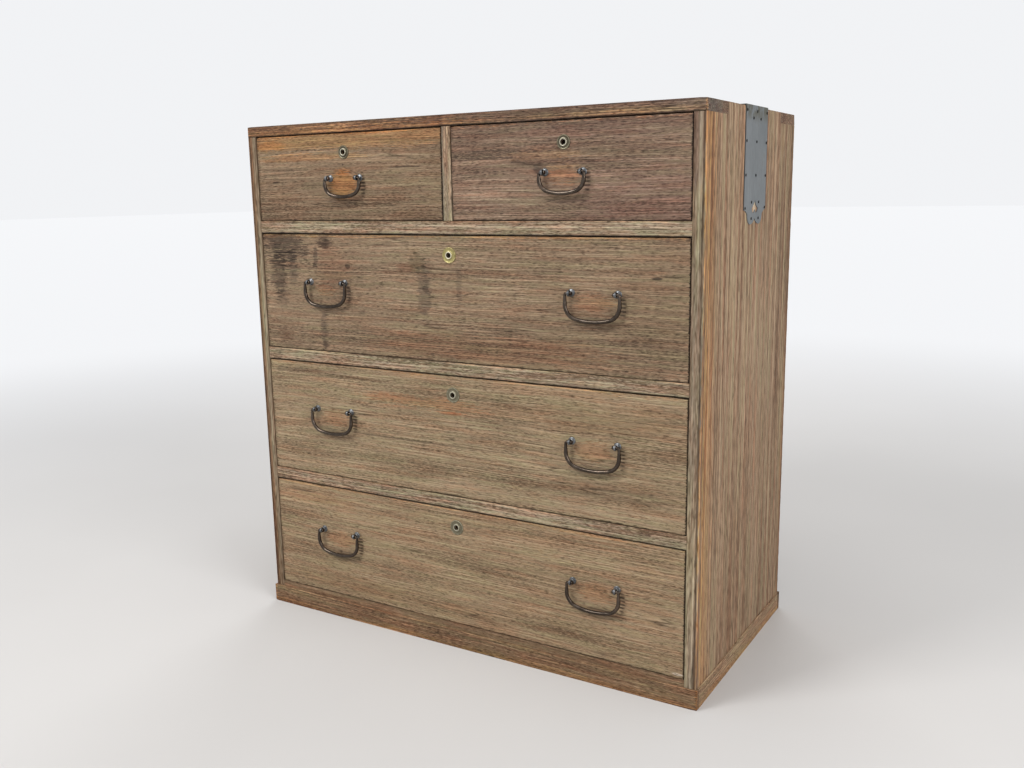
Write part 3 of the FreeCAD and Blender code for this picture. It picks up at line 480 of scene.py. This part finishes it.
# Top board
# Laid over the sides and fingered into them. Its front edge is a warm ochre brown on the left and
# greyer to the right, and its end grain shows grey where the fingers come through the sides.
top_low, top_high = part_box("top_board")
top_marks = [
    (corner(lambda x, y, z: (0.05 - x) / 0.6 + 0.2, near("y", front, 0.02)),
     (1.34, 1.11, 0.82), 0.80, 1.6),
    (corner(end_grain, near("y", front + 0.024, 0.030)), (0.72, 0.90, 1.12), 0.90, 1.6),
    (corner(near("z", top_low.z + 0.0045, 0.0030), front_edge), (1.22, 1.05, 0.84), 0.60, 2.8),
    # Painted shade along the top board's lower front arris, beside the gap over the drawers.
    (corner(near("z", top_low.z, 0.0016), front_edge), gap_edge_shade, 0.90, 0.6),
    (corner(near("z", top_high.z, 0.0024), front_edge), (0.48, 0.48, 0.54), 0.85, 1.6),
    (outer_arris, raw_orange, 0.48, 2.4),
    (corner(lambda x, y, z: (x - 0.36) / 0.05, front_edge), (1.10, 1.20, 1.30), 0.90, 1.0),
    (corner(lambda x, y, z: (-0.385 - x) / 0.03, near("z", top_high.z, 0.008), front_edge),
     (0.80, 0.88, 0.96), 0.85, 1.2),
    (corner(end_grain, near("y", back - 0.020, 0.030)), (1.36, 1.34, 1.32), 0.90, 1.0),
    (corner(side_arris(0.0034), near("y", front, 0.0018)), (2.0, 1.8, 1.5), 0.85, 1.0),
]
top_shades = ((0.073, 0.043, 0.027), (0.178, 0.111, 0.075), (0.343, 0.228, 0.151))
top_wood = brushed_wood("top_board_wood", "x", top_shades, 31.0, contrast=1.4, marks=top_marks)
top_wood.put_on(worn_board("top_board", "carcass", *case_arrises))


# Back boards
# Four thin upright boards let into the sides, rough from the plane. Their long edges are eased, so the
# joints show as fine grooves, and no two have darkened alike.
back_low, back_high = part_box("back_boards")
board_width = (back_high.x - back_low.x) / 4


def one_board(index):
    """High on one of the back boards and 0.5 at its edges."""
    middle = back_low.x + (index + 0.5) * board_width
    return lambda x, y, z: (board_width / 2 - abs(x - middle)) / 0.001 + 0.5


def beside_joint(p):
    """Whether a place is on one of the long edges that meet, on the outside of the back."""
    joint = round(p.x / board_width) * board_width
    return at(p.y, back_high.y) and at(p.x, joint, 0.001) and abs(p.x) < board_width * 1.5


def seam(index):
    """1 at the joint on the left of a board."""
    return near("x", back_low.x + index * board_width, 0.0016)


back_marks = [
    (one_board(0), (0.94, 0.90, 0.84), 0.9, 0.0),
    (one_board(1), (1.08, 1.05, 1.00), 0.9, 0.0),
    (one_board(3), (0.84, 0.83, 0.84), 0.9, 0.0),
    (lambda x, y, z: 1 - z / 0.20, (0.72, 0.70, 0.70), 0.8, 1.6),
    (lambda x, y, z: z * 4 - 2.9, (0.80, 0.78, 0.78), 0.7, 1.6),
] + [(seam(index), (0.35, 0.32, 0.30), 0.9, 0.5) for index in (1, 2, 3)]
back_shades = ((0.145, 0.095, 0.058), (0.285, 0.200, 0.128), (0.40, 0.29, 0.19))
back_wood = brushed_wood("back_board_wood", "z", back_shades, 41.0, pitch=0.004, contrast=0.8, drift=0.6,
                         length=1.5, marks=back_marks)
back_wood.put_on(worn_board("back_boards", "carcass", (beside_joint, 0.0014), pitch=0.04, ragged=0.5))


# Side straps
# A plate of blue-grey iron is let down each side from the top edge, with a heart cut through its foot
# and forged nails along it. It is dull and mottled, and rusted where it turns over the edge.
plate_iron = Finish("strap_iron_plate", Metallic=0.3, Specular_IOR_Level=0.4)
x, y, z = plate_iron.axes()
mottle = plate_iron.noise(x * 90, y * 90, z * 60, 4, 0.6)
cloud = plate_iron.noise(x * 16, y * 16, z * 9, 3)
brush = plate_iron.noise(x * 900, y * 420, z * 25, 2)
colour = plate_iron.ramp(mottle * 0.4 + cloud * 0.4 + brush * 0.2, (0.32, (0.112, 0.124, 0.128)),
                         (0.52, (0.158, 0.170, 0.176)), (0.72, (0.215, 0.227, 0.232)))
colour = plate_iron.mix(colour, (0.075, 0.070, 0.045),
                        z.step(chest_top - 0.030, chest_top - 0.006) * mottle.step(0.40, 0.56) * 0.85)
colour = plate_iron.mix(colour, (0.11, 0.085, 0.065), (mottle * 0.7 + brush * 0.3).step(0.60, 0.70) * 0.6)
strap_low, strap_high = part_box("right_strap")
from_side = (y - strap_low.y).least(strap_high.y - y)
# Painted shade along both long edges of the strap, where its thickness stands off the side.
colour = plate_iron.mix(colour, (0.035, 0.036, 0.036),
                        (from_side + mottle * 0.003).step(0.0046, 0.0016) * 0.75)
plate_iron.lead(Base_Color=colour, Roughness=0.50 + mottle * 0.25)
plate_iron.relief(mottle * 0.6 + brush * 0.2, 0.0003)
plate_iron.put_on(nodes["left_strap"], nodes["right_strap"])


def forged_iron(name, shades, shine, scale=180, relief=0.00014):
    """Mottled iron with a little rust. Shades are its dark, middle and light colours, shine is how rough
    it is at its brightest, and a larger scale makes the mottle finer."""
    iron = Finish(name, Metallic=0.85)
    x, y, z = iron.axes()
    mottle = iron.noise(x * scale, y * scale, z * scale, 4, 0.6)
    cloud = iron.noise(x * scale * 0.25, y * scale * 0.25, z * scale * 0.25, 2)
    colour = iron.ramp(mottle * 0.6 + cloud * 0.4, (0.30, shades[0]), (0.5, shades[1]), (0.72, shades[2]))
    colour = iron.mix(colour, (0.10, 0.045, 0.022), (mottle * 0.5 + cloud * 0.5).step(0.56, 0.68) * 0.30)
    iron.lead(Base_Color=colour, Roughness=shine + mottle * 0.25)
    iron.relief(mottle, relief)
    return iron


nails = copy_of("strap_nails", "strap_nail_heads")
bpy.ops.mesh.bevel(offset=0.00045, segments=2, affect="EDGES")
bpy.ops.object.mode_set(mode="OBJECT")
bpy.ops.object.shade_smooth()
nails.data.materials.clear()
nail_shades = ((0.006, 0.006, 0.006), (0.014, 0.013, 0.013), (0.04, 0.038, 0.036))
forged_iron("nail_head_iron", nail_shades, 0.60).put_on(nails)
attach(nails, "carcass")
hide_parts("strap_nails")


# Drawers
# Each front is a thick board with its grain level and its arrises worn. The sides and the back are thin
# and pale, fingered at the rear corners, with a bottom board nailed on from below.
def spot(cx, cz, rx, rz):
    """1 at a place on the front and 0.5 on an ellipse about it."""
    return lambda x, y, z: 1 - (((x - cx) / rx) ** 2 + ((z - cz) / rz) ** 2) * 0.5


def limb_shadow_ticks(x, y, z):
    """Rises and falls every 6 mm up the front, where the painted shadow of a bail's limb breaks on the
    raised grain beside a handle.
    """
    return z.math("SINE", z * 1050) * 0.8 + 0.5


def bails_of(drawer):
    """The names of a drawer's bails."""
    return [name for name in nodes if name.startswith(drawer) and name.endswith("_bail")]


orange_rub, red_rub = (1.42, 1.04, 0.66), (1.06, 0.82, 0.72)
# Soot is a real stain in most marks, but beside and below the bails it stands for their painted shadow.
damp, soot_and_shadow = (0.44, 0.45, 0.50), (0.26, 0.25, 0.28)
front_shades = {
    "left_small_drawer": ((0.084, 0.052, 0.030), (0.259, 0.177, 0.111), (0.396, 0.288, 0.185)),
    "right_small_drawer": ((0.078, 0.049, 0.035), (0.253, 0.167, 0.114), (0.395, 0.286, 0.200)),
    "upper_drawer": ((0.089, 0.058, 0.037), (0.281, 0.193, 0.122), (0.420, 0.310, 0.202)),
    "middle_drawer": ((0.109, 0.074, 0.043), (0.352, 0.254, 0.155), (0.489, 0.371, 0.242)),
    "lower_drawer": ((0.110, 0.073, 0.042), (0.359, 0.251, 0.151), (0.493, 0.369, 0.237)),
}
front_marks = {
    "left_small_drawer": [
        (lambda x, y, z: (z - 0.893) / 0.016 + 0.4, (1.30, 1.04, 0.74), 0.75, 1.5),
        (spot(-0.2235, 0.832, 0.026, 0.020), orange_rub, 0.85, 1.6),
        (spot(-0.2235, 0.854, 0.016, 0.006), orange_rub, 0.50, 1.6),
        (spot(-0.2225, 0.8655, 0.0018, 0.0018), soot_and_shadow, 0.9, 0.0),
        (spot(-0.395, 0.9040, 0.036, 0.008), (1.26, 0.94, 0.68), 0.75, 1.2),
        (spot(-0.30, 0.880, 0.10, 0.006), (1.25, 1.00, 0.72), 0.60, 2.4),
        (spot(-0.090, 0.8585, 0.036, 0.0013), soot_and_shadow, 0.80, 0.8),
        (spot(-0.386, 0.8375, 0.009, 0.0014), soot_and_shadow, 0.80, 0.6),
    ],
    "right_small_drawer": [
        (spot(0.2195, 0.838, 0.026, 0.016), (1.26, 1.02, 0.80), 0.60, 4.0),
        (spot(0.170, 0.870, 0.060, 0.006), (1.22, 1.02, 0.82), 0.55, 4.0),
        (lambda x, y, z: 0.9 - abs(z - 0.9194) / 0.0022 - (0.25 - x).least(0.1) * 6,
         (1.50, 1.60, 1.62), 0.85, 1.2),
        (spot(0.36, 0.79, 0.12, 0.05), (0.86, 0.78, 0.84), 0.80, 1.8),
        (spot(0.28, 0.905, 0.16, 0.014), (0.80, 0.75, 0.80), 0.80, 1.8),
        (spot(0.1745, 0.8475, 0.008, 0.007), damp, 0.75, 2.0),
    ],
    "upper_drawer": [
        (spot(-0.376, 0.722, 0.036, 0.024), soot_and_shadow, 0.80, 4.6),
        (spot(-0.392, 0.672, 0.013, 0.030), soot_and_shadow, 0.66, 4.2),
        (spot(-0.355, 0.678, 0.009, 0.026), damp, 0.70, 3.6),
        (spot(-0.385, 0.628, 0.012, 0.020), damp, 0.50, 3.4),
        (spot(-0.276, 0.730, 0.014, 0.010), soot_and_shadow, 0.80, 2.6),
        (spot(-0.298, 0.700, 0.004, 0.018), damp, 0.80, 2.2),
        (spot(-0.303, 0.687, 0.004, 0.005), soot_and_shadow, 0.70, 1.2),
        (spot(-0.2228, 0.6862, 0.0060, 0.0050), soot_and_shadow, 0.80, 1.4),
        (spot(-0.095, 0.686, 0.016, 0.008), (0.72, 0.58, 0.56), 0.80, 2.4),
        (spot(-0.068, 0.695, 0.014, 0.014), (0.60, 0.64, 0.58), 0.80, 2.4),
        (spot(-0.054, 0.650, 0.011, 0.036), damp, 0.66, 3.0),
        (spot(-0.0513, 0.6507, 0.0060, 0.0060), soot_and_shadow, 0.65, 1.6),
        (spot(0.0185, 0.668, 0.005, 0.030), damp, 0.45, 2.6),
        (spot(-0.285, 0.572, 0.007, 0.036), damp, 0.72, 2.6),
        (spot(-0.285, 0.541, 0.009, 0.006), soot_and_shadow, 0.70, 1.8),
        (spot(-0.385, 0.553, 0.020, 0.010), (0.62, 0.50, 0.48), 0.75, 2.6),
        (spot(-0.195, 0.605, 0.008, 0.006), damp, 0.50, 2.0),
        (spot(-0.255, 0.676, 0.040, 0.040), (0.94, 0.82, 0.80), 0.90, 1.4),
        (spot(0.04, 0.552, 0.22, 0.022), (0.92, 0.75, 0.68), 0.70, 2.2),
        (spot(0.3759, 0.6816, 0.0085, 0.0024), soot_and_shadow, 0.95, 0.5),
        (spot(0.402, 0.6852, 0.020, 0.0009), soot_and_shadow, 0.85, 0.6),
        (spot(0.38, 0.64, 0.06, 0.08), (0.90, 0.88, 0.86), 0.90, 3.0),
    ],
    "middle_drawer": [
        (spot(-0.06, 0.450, 0.12, 0.010), (1.08, 0.76, 0.62), 0.70, 2.4),
        (spot(-0.005, 0.437, 0.020, 0.004), (0.90, 0.60, 0.48), 0.70, 1.6),
        (spot(-0.34, 0.488, 0.09, 0.006), damp, 0.55, 2.6),
        (spot(-0.10, 0.378, 0.20, 0.0011), soot_and_shadow, 0.55, 0.9),
        (spot(0.30, 0.335, 0.10, 0.012), (0.80, 0.78, 0.78), 0.80, 2.6),
        (spot(0.29, 0.455, 0.12, 0.020), (0.84, 0.80, 0.76), 0.80, 2.8),
    ],
    "lower_drawer": [
        (spot(0.4190, 0.0530, 0.0100, 0.0019), (2.0, 2.4, 3.1), 0.95, 0.4),
        (spot(-0.36, 0.235, 0.10, 0.010), red_rub, 0.50, 2.2),
        (spot(-0.20, 0.070, 0.24, 0.016), (0.80, 0.74, 0.68), 0.75, 2.2),
    ],
}
drawer_wood = brushed_wood("drawer_side_wood", "y", shelf_shades, 51.0, pitch=0.006, contrast=0.5,
                           relief=0.0003)
for index, (drawer, shades) in enumerate(front_shades.items()):
    low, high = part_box(drawer + "_front")
    face = low.y
    small, lower_two = index < 2, index > 2
    bail_limb = 0.0355 if small else 0.0435
    marks = list(front_marks[drawer])
    for bail in bails_of(drawer):
        handle = (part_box(bail)[0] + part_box(bail)[1]) / 2
        marks += [
            # Painted shadow of the grip, with some soot, in a band just below it.
            (spot(handle.x + 0.004, handle.z - 0.026, 0.036, 0.008), soot_and_shadow, 0.45, 2.0),
            # Painted shadow of the right limb, serrated by the raised grain.
            (corner(spot(handle.x + bail_limb + 0.0045, handle.z + 0.003, 0.006, 0.018), limb_shadow_ticks),
             soot_and_shadow, 0.90, 0.8),
            (spot(handle.x, handle.z + 0.008, 0.028, 0.012), red_rub, 0.35 if small else 0.75, 2.2),
        ]
    marks += [
        (lambda x, y, z, top=high.z: 0.72 - abs(z - top + 0.0008) / 0.0040, (1.62, 1.22, 0.86),
         0.50 if lower_two else 0.75, 3.4),
        (lambda x, y, z, left=low.x: 1 - (x - left) / 0.005, (0.45, 0.42, 0.40), 0.80, 3.2),
        # Painted shade along the front's right arris, beside the gap.
        (corner(lambda x, y, z, right=high.x: 1 - (right - x) / 0.0034, near("y", face, 0.0024)),
         gap_edge_shade, 0.92, 1.1),
        # Painted shade along the front's bottom arris, beside the gap below it.
        (corner(lambda x, y, z, foot=low.z: 1 - (z - foot) / 0.0040, near("y", face, 0.0024)),
         (0.14, 0.12, 0.11), 0.92, 1.2),
        # Painted shade, with some dirt, on the front's sides inside the gaps.
        (near("y", face + 0.0060, 0.0040), (0.42, 0.38, 0.36), 0.90, 0.4),
    ]
    rubbed = (lambda p, face=face, low=low, high=high: at(p.y, face) and (
        at(p.z, low.z) or at(p.z, high.z) or at(p.x, low.x) or at(p.x, high.x)), 0.0015)
    front_wood = brushed_wood(drawer + "_front_wood", "x", shades, 61.0 + index * 2.3, drift=0.8,
                              contrast=0.87 if lower_two else 1.0, marks=marks)
    front_wood.put_on(worn_board(drawer + "_front", drawer, rubbed))
    drawer_wood.put_on(nodes[drawer + "_box"], nodes[drawer + "_bottom"])


# Locks
# A flat iron case is screwed behind each front, and its bolt rises into the rail above. Both are dull
# with old oil.
lock_shades = ((0.05, 0.048, 0.045), (0.12, 0.115, 0.11), (0.2, 0.195, 0.19))
lock_iron = forged_iron("lock_case_iron", lock_shades, 0.5)
for drawer in front_shades:
    lock_iron.put_on(nodes[drawer + "_lock_case"], nodes[drawer + "_lock_bolt"])


# Keyhole plates
# A brass disc is let on to each front with a raised collar about its keyhole, and an iron tube leads the
# key in to the lock. The upper disc has stayed yellow, the lower two are grey, and the small ones dark.
# The tube is near black, as painted shade that keeps the keyhole dark.
def turned(name, place, facing, stations, sides=48, fill=True):
    """Turned about a line: each station is a radius and how far it stands out from the place."""
    turn = facing.to_track_quat("Z", "Y")
    radius, out = stations[0]
    bpy.ops.object.select_all(action="DESELECT")
    bpy.ops.mesh.primitive_circle_add(vertices=sides, radius=radius, location=place + facing * out,
                                      rotation=turn.to_euler())
    piece = bpy.context.object
    piece.name = name
    bpy.ops.object.mode_set(mode="EDIT")
    bpy.ops.mesh.select_mode(type="VERT")
    bpy.ops.mesh.select_all(action="SELECT")
    if fill:
        bpy.ops.mesh.edge_face_add()
    for next_radius, next_out in stations[1:]:
        bpy.ops.mesh.extrude_region_move(TRANSFORM_OT_translate={"value": facing * (next_out - out)})
        bpy.ops.transform.resize(value=(next_radius / radius,) * 3,
                                 center_override=place + facing * next_out)
        radius, out = next_radius, next_out
    bpy.ops.mesh.select_all(action="SELECT")
    bpy.ops.mesh.remove_doubles(threshold=0.000005)
    bpy.ops.mesh.normals_make_consistent(inside=False)
    bpy.ops.object.mode_set(mode="OBJECT")
    bpy.ops.object.transform_apply(location=True, rotation=True, scale=True)
    bpy.ops.object.shade_smooth_by_angle(angle=math.radians(40))
    return piece


front_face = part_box("upper_drawer_front")[0].y


def brass(name, shades):
    """Tarnished brass. Shades are its dark, middle and light colours, then those of the collar's lip and
    of the sunk ring about the collar."""
    metal = Finish(name, Metallic=0.75)
    x, y, z = metal.axes()
    mottle = metal.noise(x * 260, y * 260, z * 260, 4, 0.6)
    cloud = metal.noise(x * 70, y * 70, z * 70, 2)
    colour = metal.ramp(mottle * 0.6 + cloud * 0.4, (0.32, shades[0]), (0.5, shades[1]), (0.70, shades[2]))
    colour = metal.mix(colour, shades[3], y.step(front_face - 0.0018, front_face - 0.0028))
    colour = metal.mix(colour, shades[4], y.step(front_face - 0.0012, front_face - 0.0009) * 0.85)
    metal.lead(Base_Color=colour, Roughness=0.30 + mottle * 0.30)
    metal.relief(mottle, 0.0002)
    return metal


yellow_brass = brass("yellow_keyhole_brass", (
    (0.18, 0.145, 0.060), (0.39, 0.320, 0.145), (0.54, 0.46, 0.24), (0.60, 0.55, 0.40),
    (0.33, 0.285, 0.11)))
dark_brass = brass("dark_keyhole_brass", (
    (0.070, 0.058, 0.034), (0.150, 0.128, 0.080), (0.25, 0.225, 0.15), (0.38, 0.350, 0.265),
    (0.055, 0.046, 0.030)))
grey_brass = brass("grey_keyhole_brass", (
    (0.095, 0.082, 0.050), (0.210, 0.188, 0.125), (0.34, 0.315, 0.22), (0.38, 0.355, 0.270),
    (0.150, 0.132, 0.088)))
# The tube is near black: painted shade that keeps the keyhole dark.
keyhole_shade_iron = Finish("keyhole_tube_painted_shade", Metallic=0.2, Roughness=0.9)
x, y, z = keyhole_shade_iron.axes()
keyhole_shade_iron.lead(Base_Color=keyhole_shade_iron.mix((0.004, 0.004, 0.004), (0.012, 0.010, 0.009),
                                        keyhole_shade_iron.noise(x * 300, y * 300, z * 300, 2)))
plate_brass = {
    "left_small_drawer": dark_brass,
    "right_small_drawer": dark_brass,
    "upper_drawer": yellow_brass,
    "middle_drawer": grey_brass,
    "lower_drawer": grey_brass,
}
outward = Vector((0, -1, 0))
for drawer in front_shades:
    low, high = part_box(drawer + "_escutcheon")
    centre = Vector(((low.x + high.x) / 2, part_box(drawer + "_front")[0].y, (low.z + high.z) / 2))
    rim = (high.x - low.x) / 2
    plate = turned(drawer + "_keyhole_plate", centre, outward, [
        (rim, 0.0), (rim, 0.0009), (rim - 0.0004, 0.0013), (rim - 0.0010, 0.00145), (rim - 0.0016, 0.0013),
        (rim - 0.0023, 0.0009), (0.0074, 0.0009), (0.0068, 0.0012), (0.0066, 0.0022), (0.0062, 0.0027),
        (0.0056, 0.0029), (0.0050, 0.0028), (0.0045, 0.0025), (0.0044, 0.0), (rim, 0.0)], fill=False)
    tube = turned(drawer + "_keyhole_tube", centre, outward, [
        (0.0044, 0.0023), (0.0043, 0.0023), (0.0042, -0.0190), (0.0044, -0.0190), (0.0044, 0.0023)],
        sides=24, fill=False)
    plate_brass[drawer].put_on(plate)
    keyhole_shade_iron.put_on(tube)
    for piece, slot in ((plate, "escutcheon_brass"), (tube, "lock_iron")):
        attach(piece, drawer)
    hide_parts(drawer + "_escutcheon")


# Eye posts
# Each bail hangs in two posts of forged iron. A post has a bright domed rosette against the wood and a
# fat eye at its tip. Its two legs go through the front and are bent apart behind it.
def fat_eye(place):
    """A ring about the line of a bail's end, thicker along that line."""
    ring_radius, bar_radius, fatness = 0.00385, 0.00118, 1.75
    bpy.ops.object.select_all(action="DESELECT")
    bpy.ops.mesh.primitive_torus_add(major_radius=ring_radius, minor_radius=bar_radius, major_segments=32,
                                     minor_segments=14, location=place, rotation=(0, math.radians(90), 0))
    ring = bpy.context.object
    bpy.ops.object.mode_set(mode="EDIT")
    bpy.ops.mesh.select_all(action="SELECT")
    bpy.ops.transform.resize(value=(fatness, 1, 1), center_override=ring.location)
    bpy.ops.object.mode_set(mode="OBJECT")
    bpy.ops.object.transform_apply(location=True, rotation=True, scale=True)
    bpy.ops.object.shade_smooth()
    return ring


def bent_leg(root, way):
    """A square leg that comes out behind the front and is bent to one side, where it tapers."""
    bend = root + Vector((way * 0.0012, leg_back + 0.0006, 0))
    leg_reach, taper, round_edge = 0.0021, (1, 0.5, 0.6), 0.0002
    bpy.ops.object.select_all(action="DESELECT")
    bpy.ops.mesh.primitive_cube_add(size=0.001, location=bend)
    leg = bpy.context.object
    bpy.ops.object.mode_set(mode="EDIT")
    bpy.ops.mesh.select_mode(type="FACE")
    bpy.ops.mesh.select_all(action="SELECT")
    bpy.ops.transform.resize(value=(2.2, 1.1, 2.6), center_override=bend)
    bpy.ops.mesh.select_all(action="DESELECT")
    shape = bmesh.from_edit_mesh(leg.data)
    for leg_side in shape.faces:
        leg_side.select_set(leg_side.normal.x * way > 0.9)
    bmesh.update_edit_mesh(leg.data)
    bpy.ops.mesh.extrude_region_move(TRANSFORM_OT_translate={"value": (way * leg_reach, 0, 0)})
    bpy.ops.transform.resize(value=taper, center_override=bend + Vector((0, -0.0004, 0)))
    bpy.ops.mesh.select_all(action="SELECT")
    bpy.ops.mesh.bevel(offset=round_edge, segments=2, affect="EDGES")
    bpy.ops.object.mode_set(mode="OBJECT")
    bpy.ops.object.transform_apply(location=True, rotation=True, scale=True)
    return leg


post_shades = ((0.040, 0.041, 0.042), (0.125, 0.127, 0.130), (0.28, 0.285, 0.29))
post_iron = forged_iron("eye_post_iron", post_shades, 0.20, 200, 0.00008)
eye_out, eye_under_top, leg_back = 0.0095, 0.0065, 0.020
post_reach = {"small": 0.0335, "wide": 0.0405}
post_profile = [
    (0.0019, -0.019), (0.0019, -0.0002), (0.0064, -0.0001), (0.0065, 0.0004), (0.0062, 0.0010),
    (0.0052, 0.0016), (0.0040, 0.0020), (0.0030, 0.0023), (0.0022, 0.0030), (0.0019, 0.0040),
    (0.0021, 0.0056)]
handles = {}
for drawer in front_shades:
    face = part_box(drawer + "_front")[0].y
    kind = "small" if "small" in drawer else "wide"
    posts = []
    for bail in bails_of(drawer):
        low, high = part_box(bail)
        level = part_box(drawer + "_handle_posts")[1].z - eye_under_top
        handles[bail] = (Vector(((low.x + high.x) / 2, face - eye_out, level)), kind)
        for side in (-1, 1):
            root = Vector(((low.x + high.x) / 2 + side * post_reach[kind], face, level))
            posts.append(turned("rosette", root, outward, post_profile, sides=28))
            posts.append(fat_eye(root + outward * eye_out))
            posts += [bent_leg(root, way) for way in (-1, 1)]
    pick(*posts)
    bpy.ops.object.join()
    eyes = posts[0]
    eyes.name = drawer + "_eye_posts"
    post_iron.put_on(eyes)
    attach(eyes, drawer)
    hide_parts(drawer + "_handle_posts")


# Bail handles
# Round iron bars, drawn thinner towards their ends and bowed to a flat grip. Each end is bent in at an
# elbow, passed through its eye and headed over. Hands have rubbed the grip brown and bright.
bail_shades = ((0.026, 0.019, 0.014), (0.060, 0.045, 0.034), (0.13, 0.103, 0.082))
bail_iron = forged_iron("bail_bar_iron", bail_shades, 0.05, 90, 0.00004)


def bail_pattern(name, half, drop, bend, sweep, reach):
    """A bail about its eyes' line: half its bar is drawn from the headed tip to the middle of the grip.
    Half is its half width, drop how far the grip hangs, bend and sweep the radii of its corners and of
    its grip, and reach how far its posts stand from its middle."""
    elbow, end_radius, grip_radius = 0.0031, 0.0023, 0.0033
    eye_half, clearance, head_length, limb_steps = 0.0021, 0.0004, 0.003, 5
    turn = math.asin((half - bend) / (sweep - bend))
    bend_level = sweep - drop - math.sqrt((sweep - bend) ** 2 - (half - bend) ** 2)
    bend_centre = Vector((half - bend, 0, bend_level))
    tip = reach - eye_half - clearance - head_length
    bar = turned(name, Vector((tip, 0, 0)), Vector((1, 0, 0)), [
        (0.0012, 0.0), (0.0024, 0.0002), (0.0031, 0.0008), (0.0032, 0.0015), (0.0031, 0.0023),
        (0.0024, 0.0030), (end_radius, 0.0032), (end_radius, half - elbow - tip)], sides=24)
    bpy.ops.object.mode_set(mode="EDIT")
    bpy.ops.mesh.select_mode(type="FACE")
    bpy.ops.mesh.select_all(action="DESELECT")
    shape = bmesh.from_edit_mesh(bar.data)
    for cap in shape.faces:
        cap.select_set(cap.normal.x > 0.9 and cap.calc_center_median().x > half - elbow - 0.0002)
    bmesh.update_edit_mesh(bar.data)
    spin_axis = (0, 1, 0)
    bpy.ops.mesh.spin(steps=8, angle=math.radians(-90), center=(half - elbow, 0, -elbow), axis=spin_axis)
    length = -elbow - bend_centre.z
    swell = (grip_radius / end_radius) ** (1 / limb_steps)
    level = -elbow
    for part in range(limb_steps):
        level -= length / limb_steps
        bpy.ops.mesh.extrude_region_move(TRANSFORM_OT_translate={"value": (0, 0, -length / limb_steps)})
        bpy.ops.transform.resize(value=(swell,) * 3, center_override=(half, 0, level))
    bpy.ops.mesh.spin(steps=10, angle=turn - math.pi / 2, center=bend_centre, axis=spin_axis)
    bpy.ops.mesh.spin(steps=8, angle=-turn, center=(0, 0, sweep - drop), axis=spin_axis)
    bpy.ops.mesh.delete(type="ONLY_FACE")
    bpy.ops.mesh.select_all(action="SELECT")
    bpy.ops.mesh.remove_doubles(threshold=0.000005)
    bpy.ops.object.mode_set(mode="OBJECT")
    mirror = bar.modifiers.new("other half", "MIRROR")
    mirror.merge_threshold = 0.0001
    bpy.ops.object.modifier_apply(modifier=mirror.name)
    bpy.ops.object.mode_set(mode="EDIT")
    bpy.ops.mesh.select_all(action="SELECT")
    bpy.ops.mesh.normals_make_consistent(inside=False)
    bpy.ops.object.mode_set(mode="OBJECT")
    hammer = bpy.data.textures.new(name + "_hammer", "CLOUDS")
    hammer.noise_scale = 0.011
    forging = bar.modifiers.new("forging", "DISPLACE")
    forging.texture, forging.strength = hammer, 0.00011
    bpy.ops.object.modifier_apply(modifier=forging.name)
    bpy.ops.object.shade_smooth_by_angle(angle=math.radians(50))
    return bar


patterns = {
    "small": bail_pattern("small_bail_bar", half=0.0392, drop=0.0324, bend=0.020, sweep=0.090,
                          reach=post_reach["small"]),
    "wide": bail_pattern("wide_bail_bar", half=0.0473, drop=0.0438, bend=0.024, sweep=0.125,
                         reach=post_reach["wide"]),
}
for bail, (middle, kind) in handles.items():
    pattern = patterns[kind]
    pick(pattern)
    bpy.ops.object.duplicate(linked=False)
    bar = bpy.context.object
    bar.name = bail + "_bar"
    bar.location = middle
    bpy.ops.object.transform_apply(location=True, rotation=True, scale=True)
    bail_iron.put_on(bar)
    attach(bar, bail)
    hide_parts(bail)
for pattern in patterns.values():
    bpy.data.objects.remove(pattern)
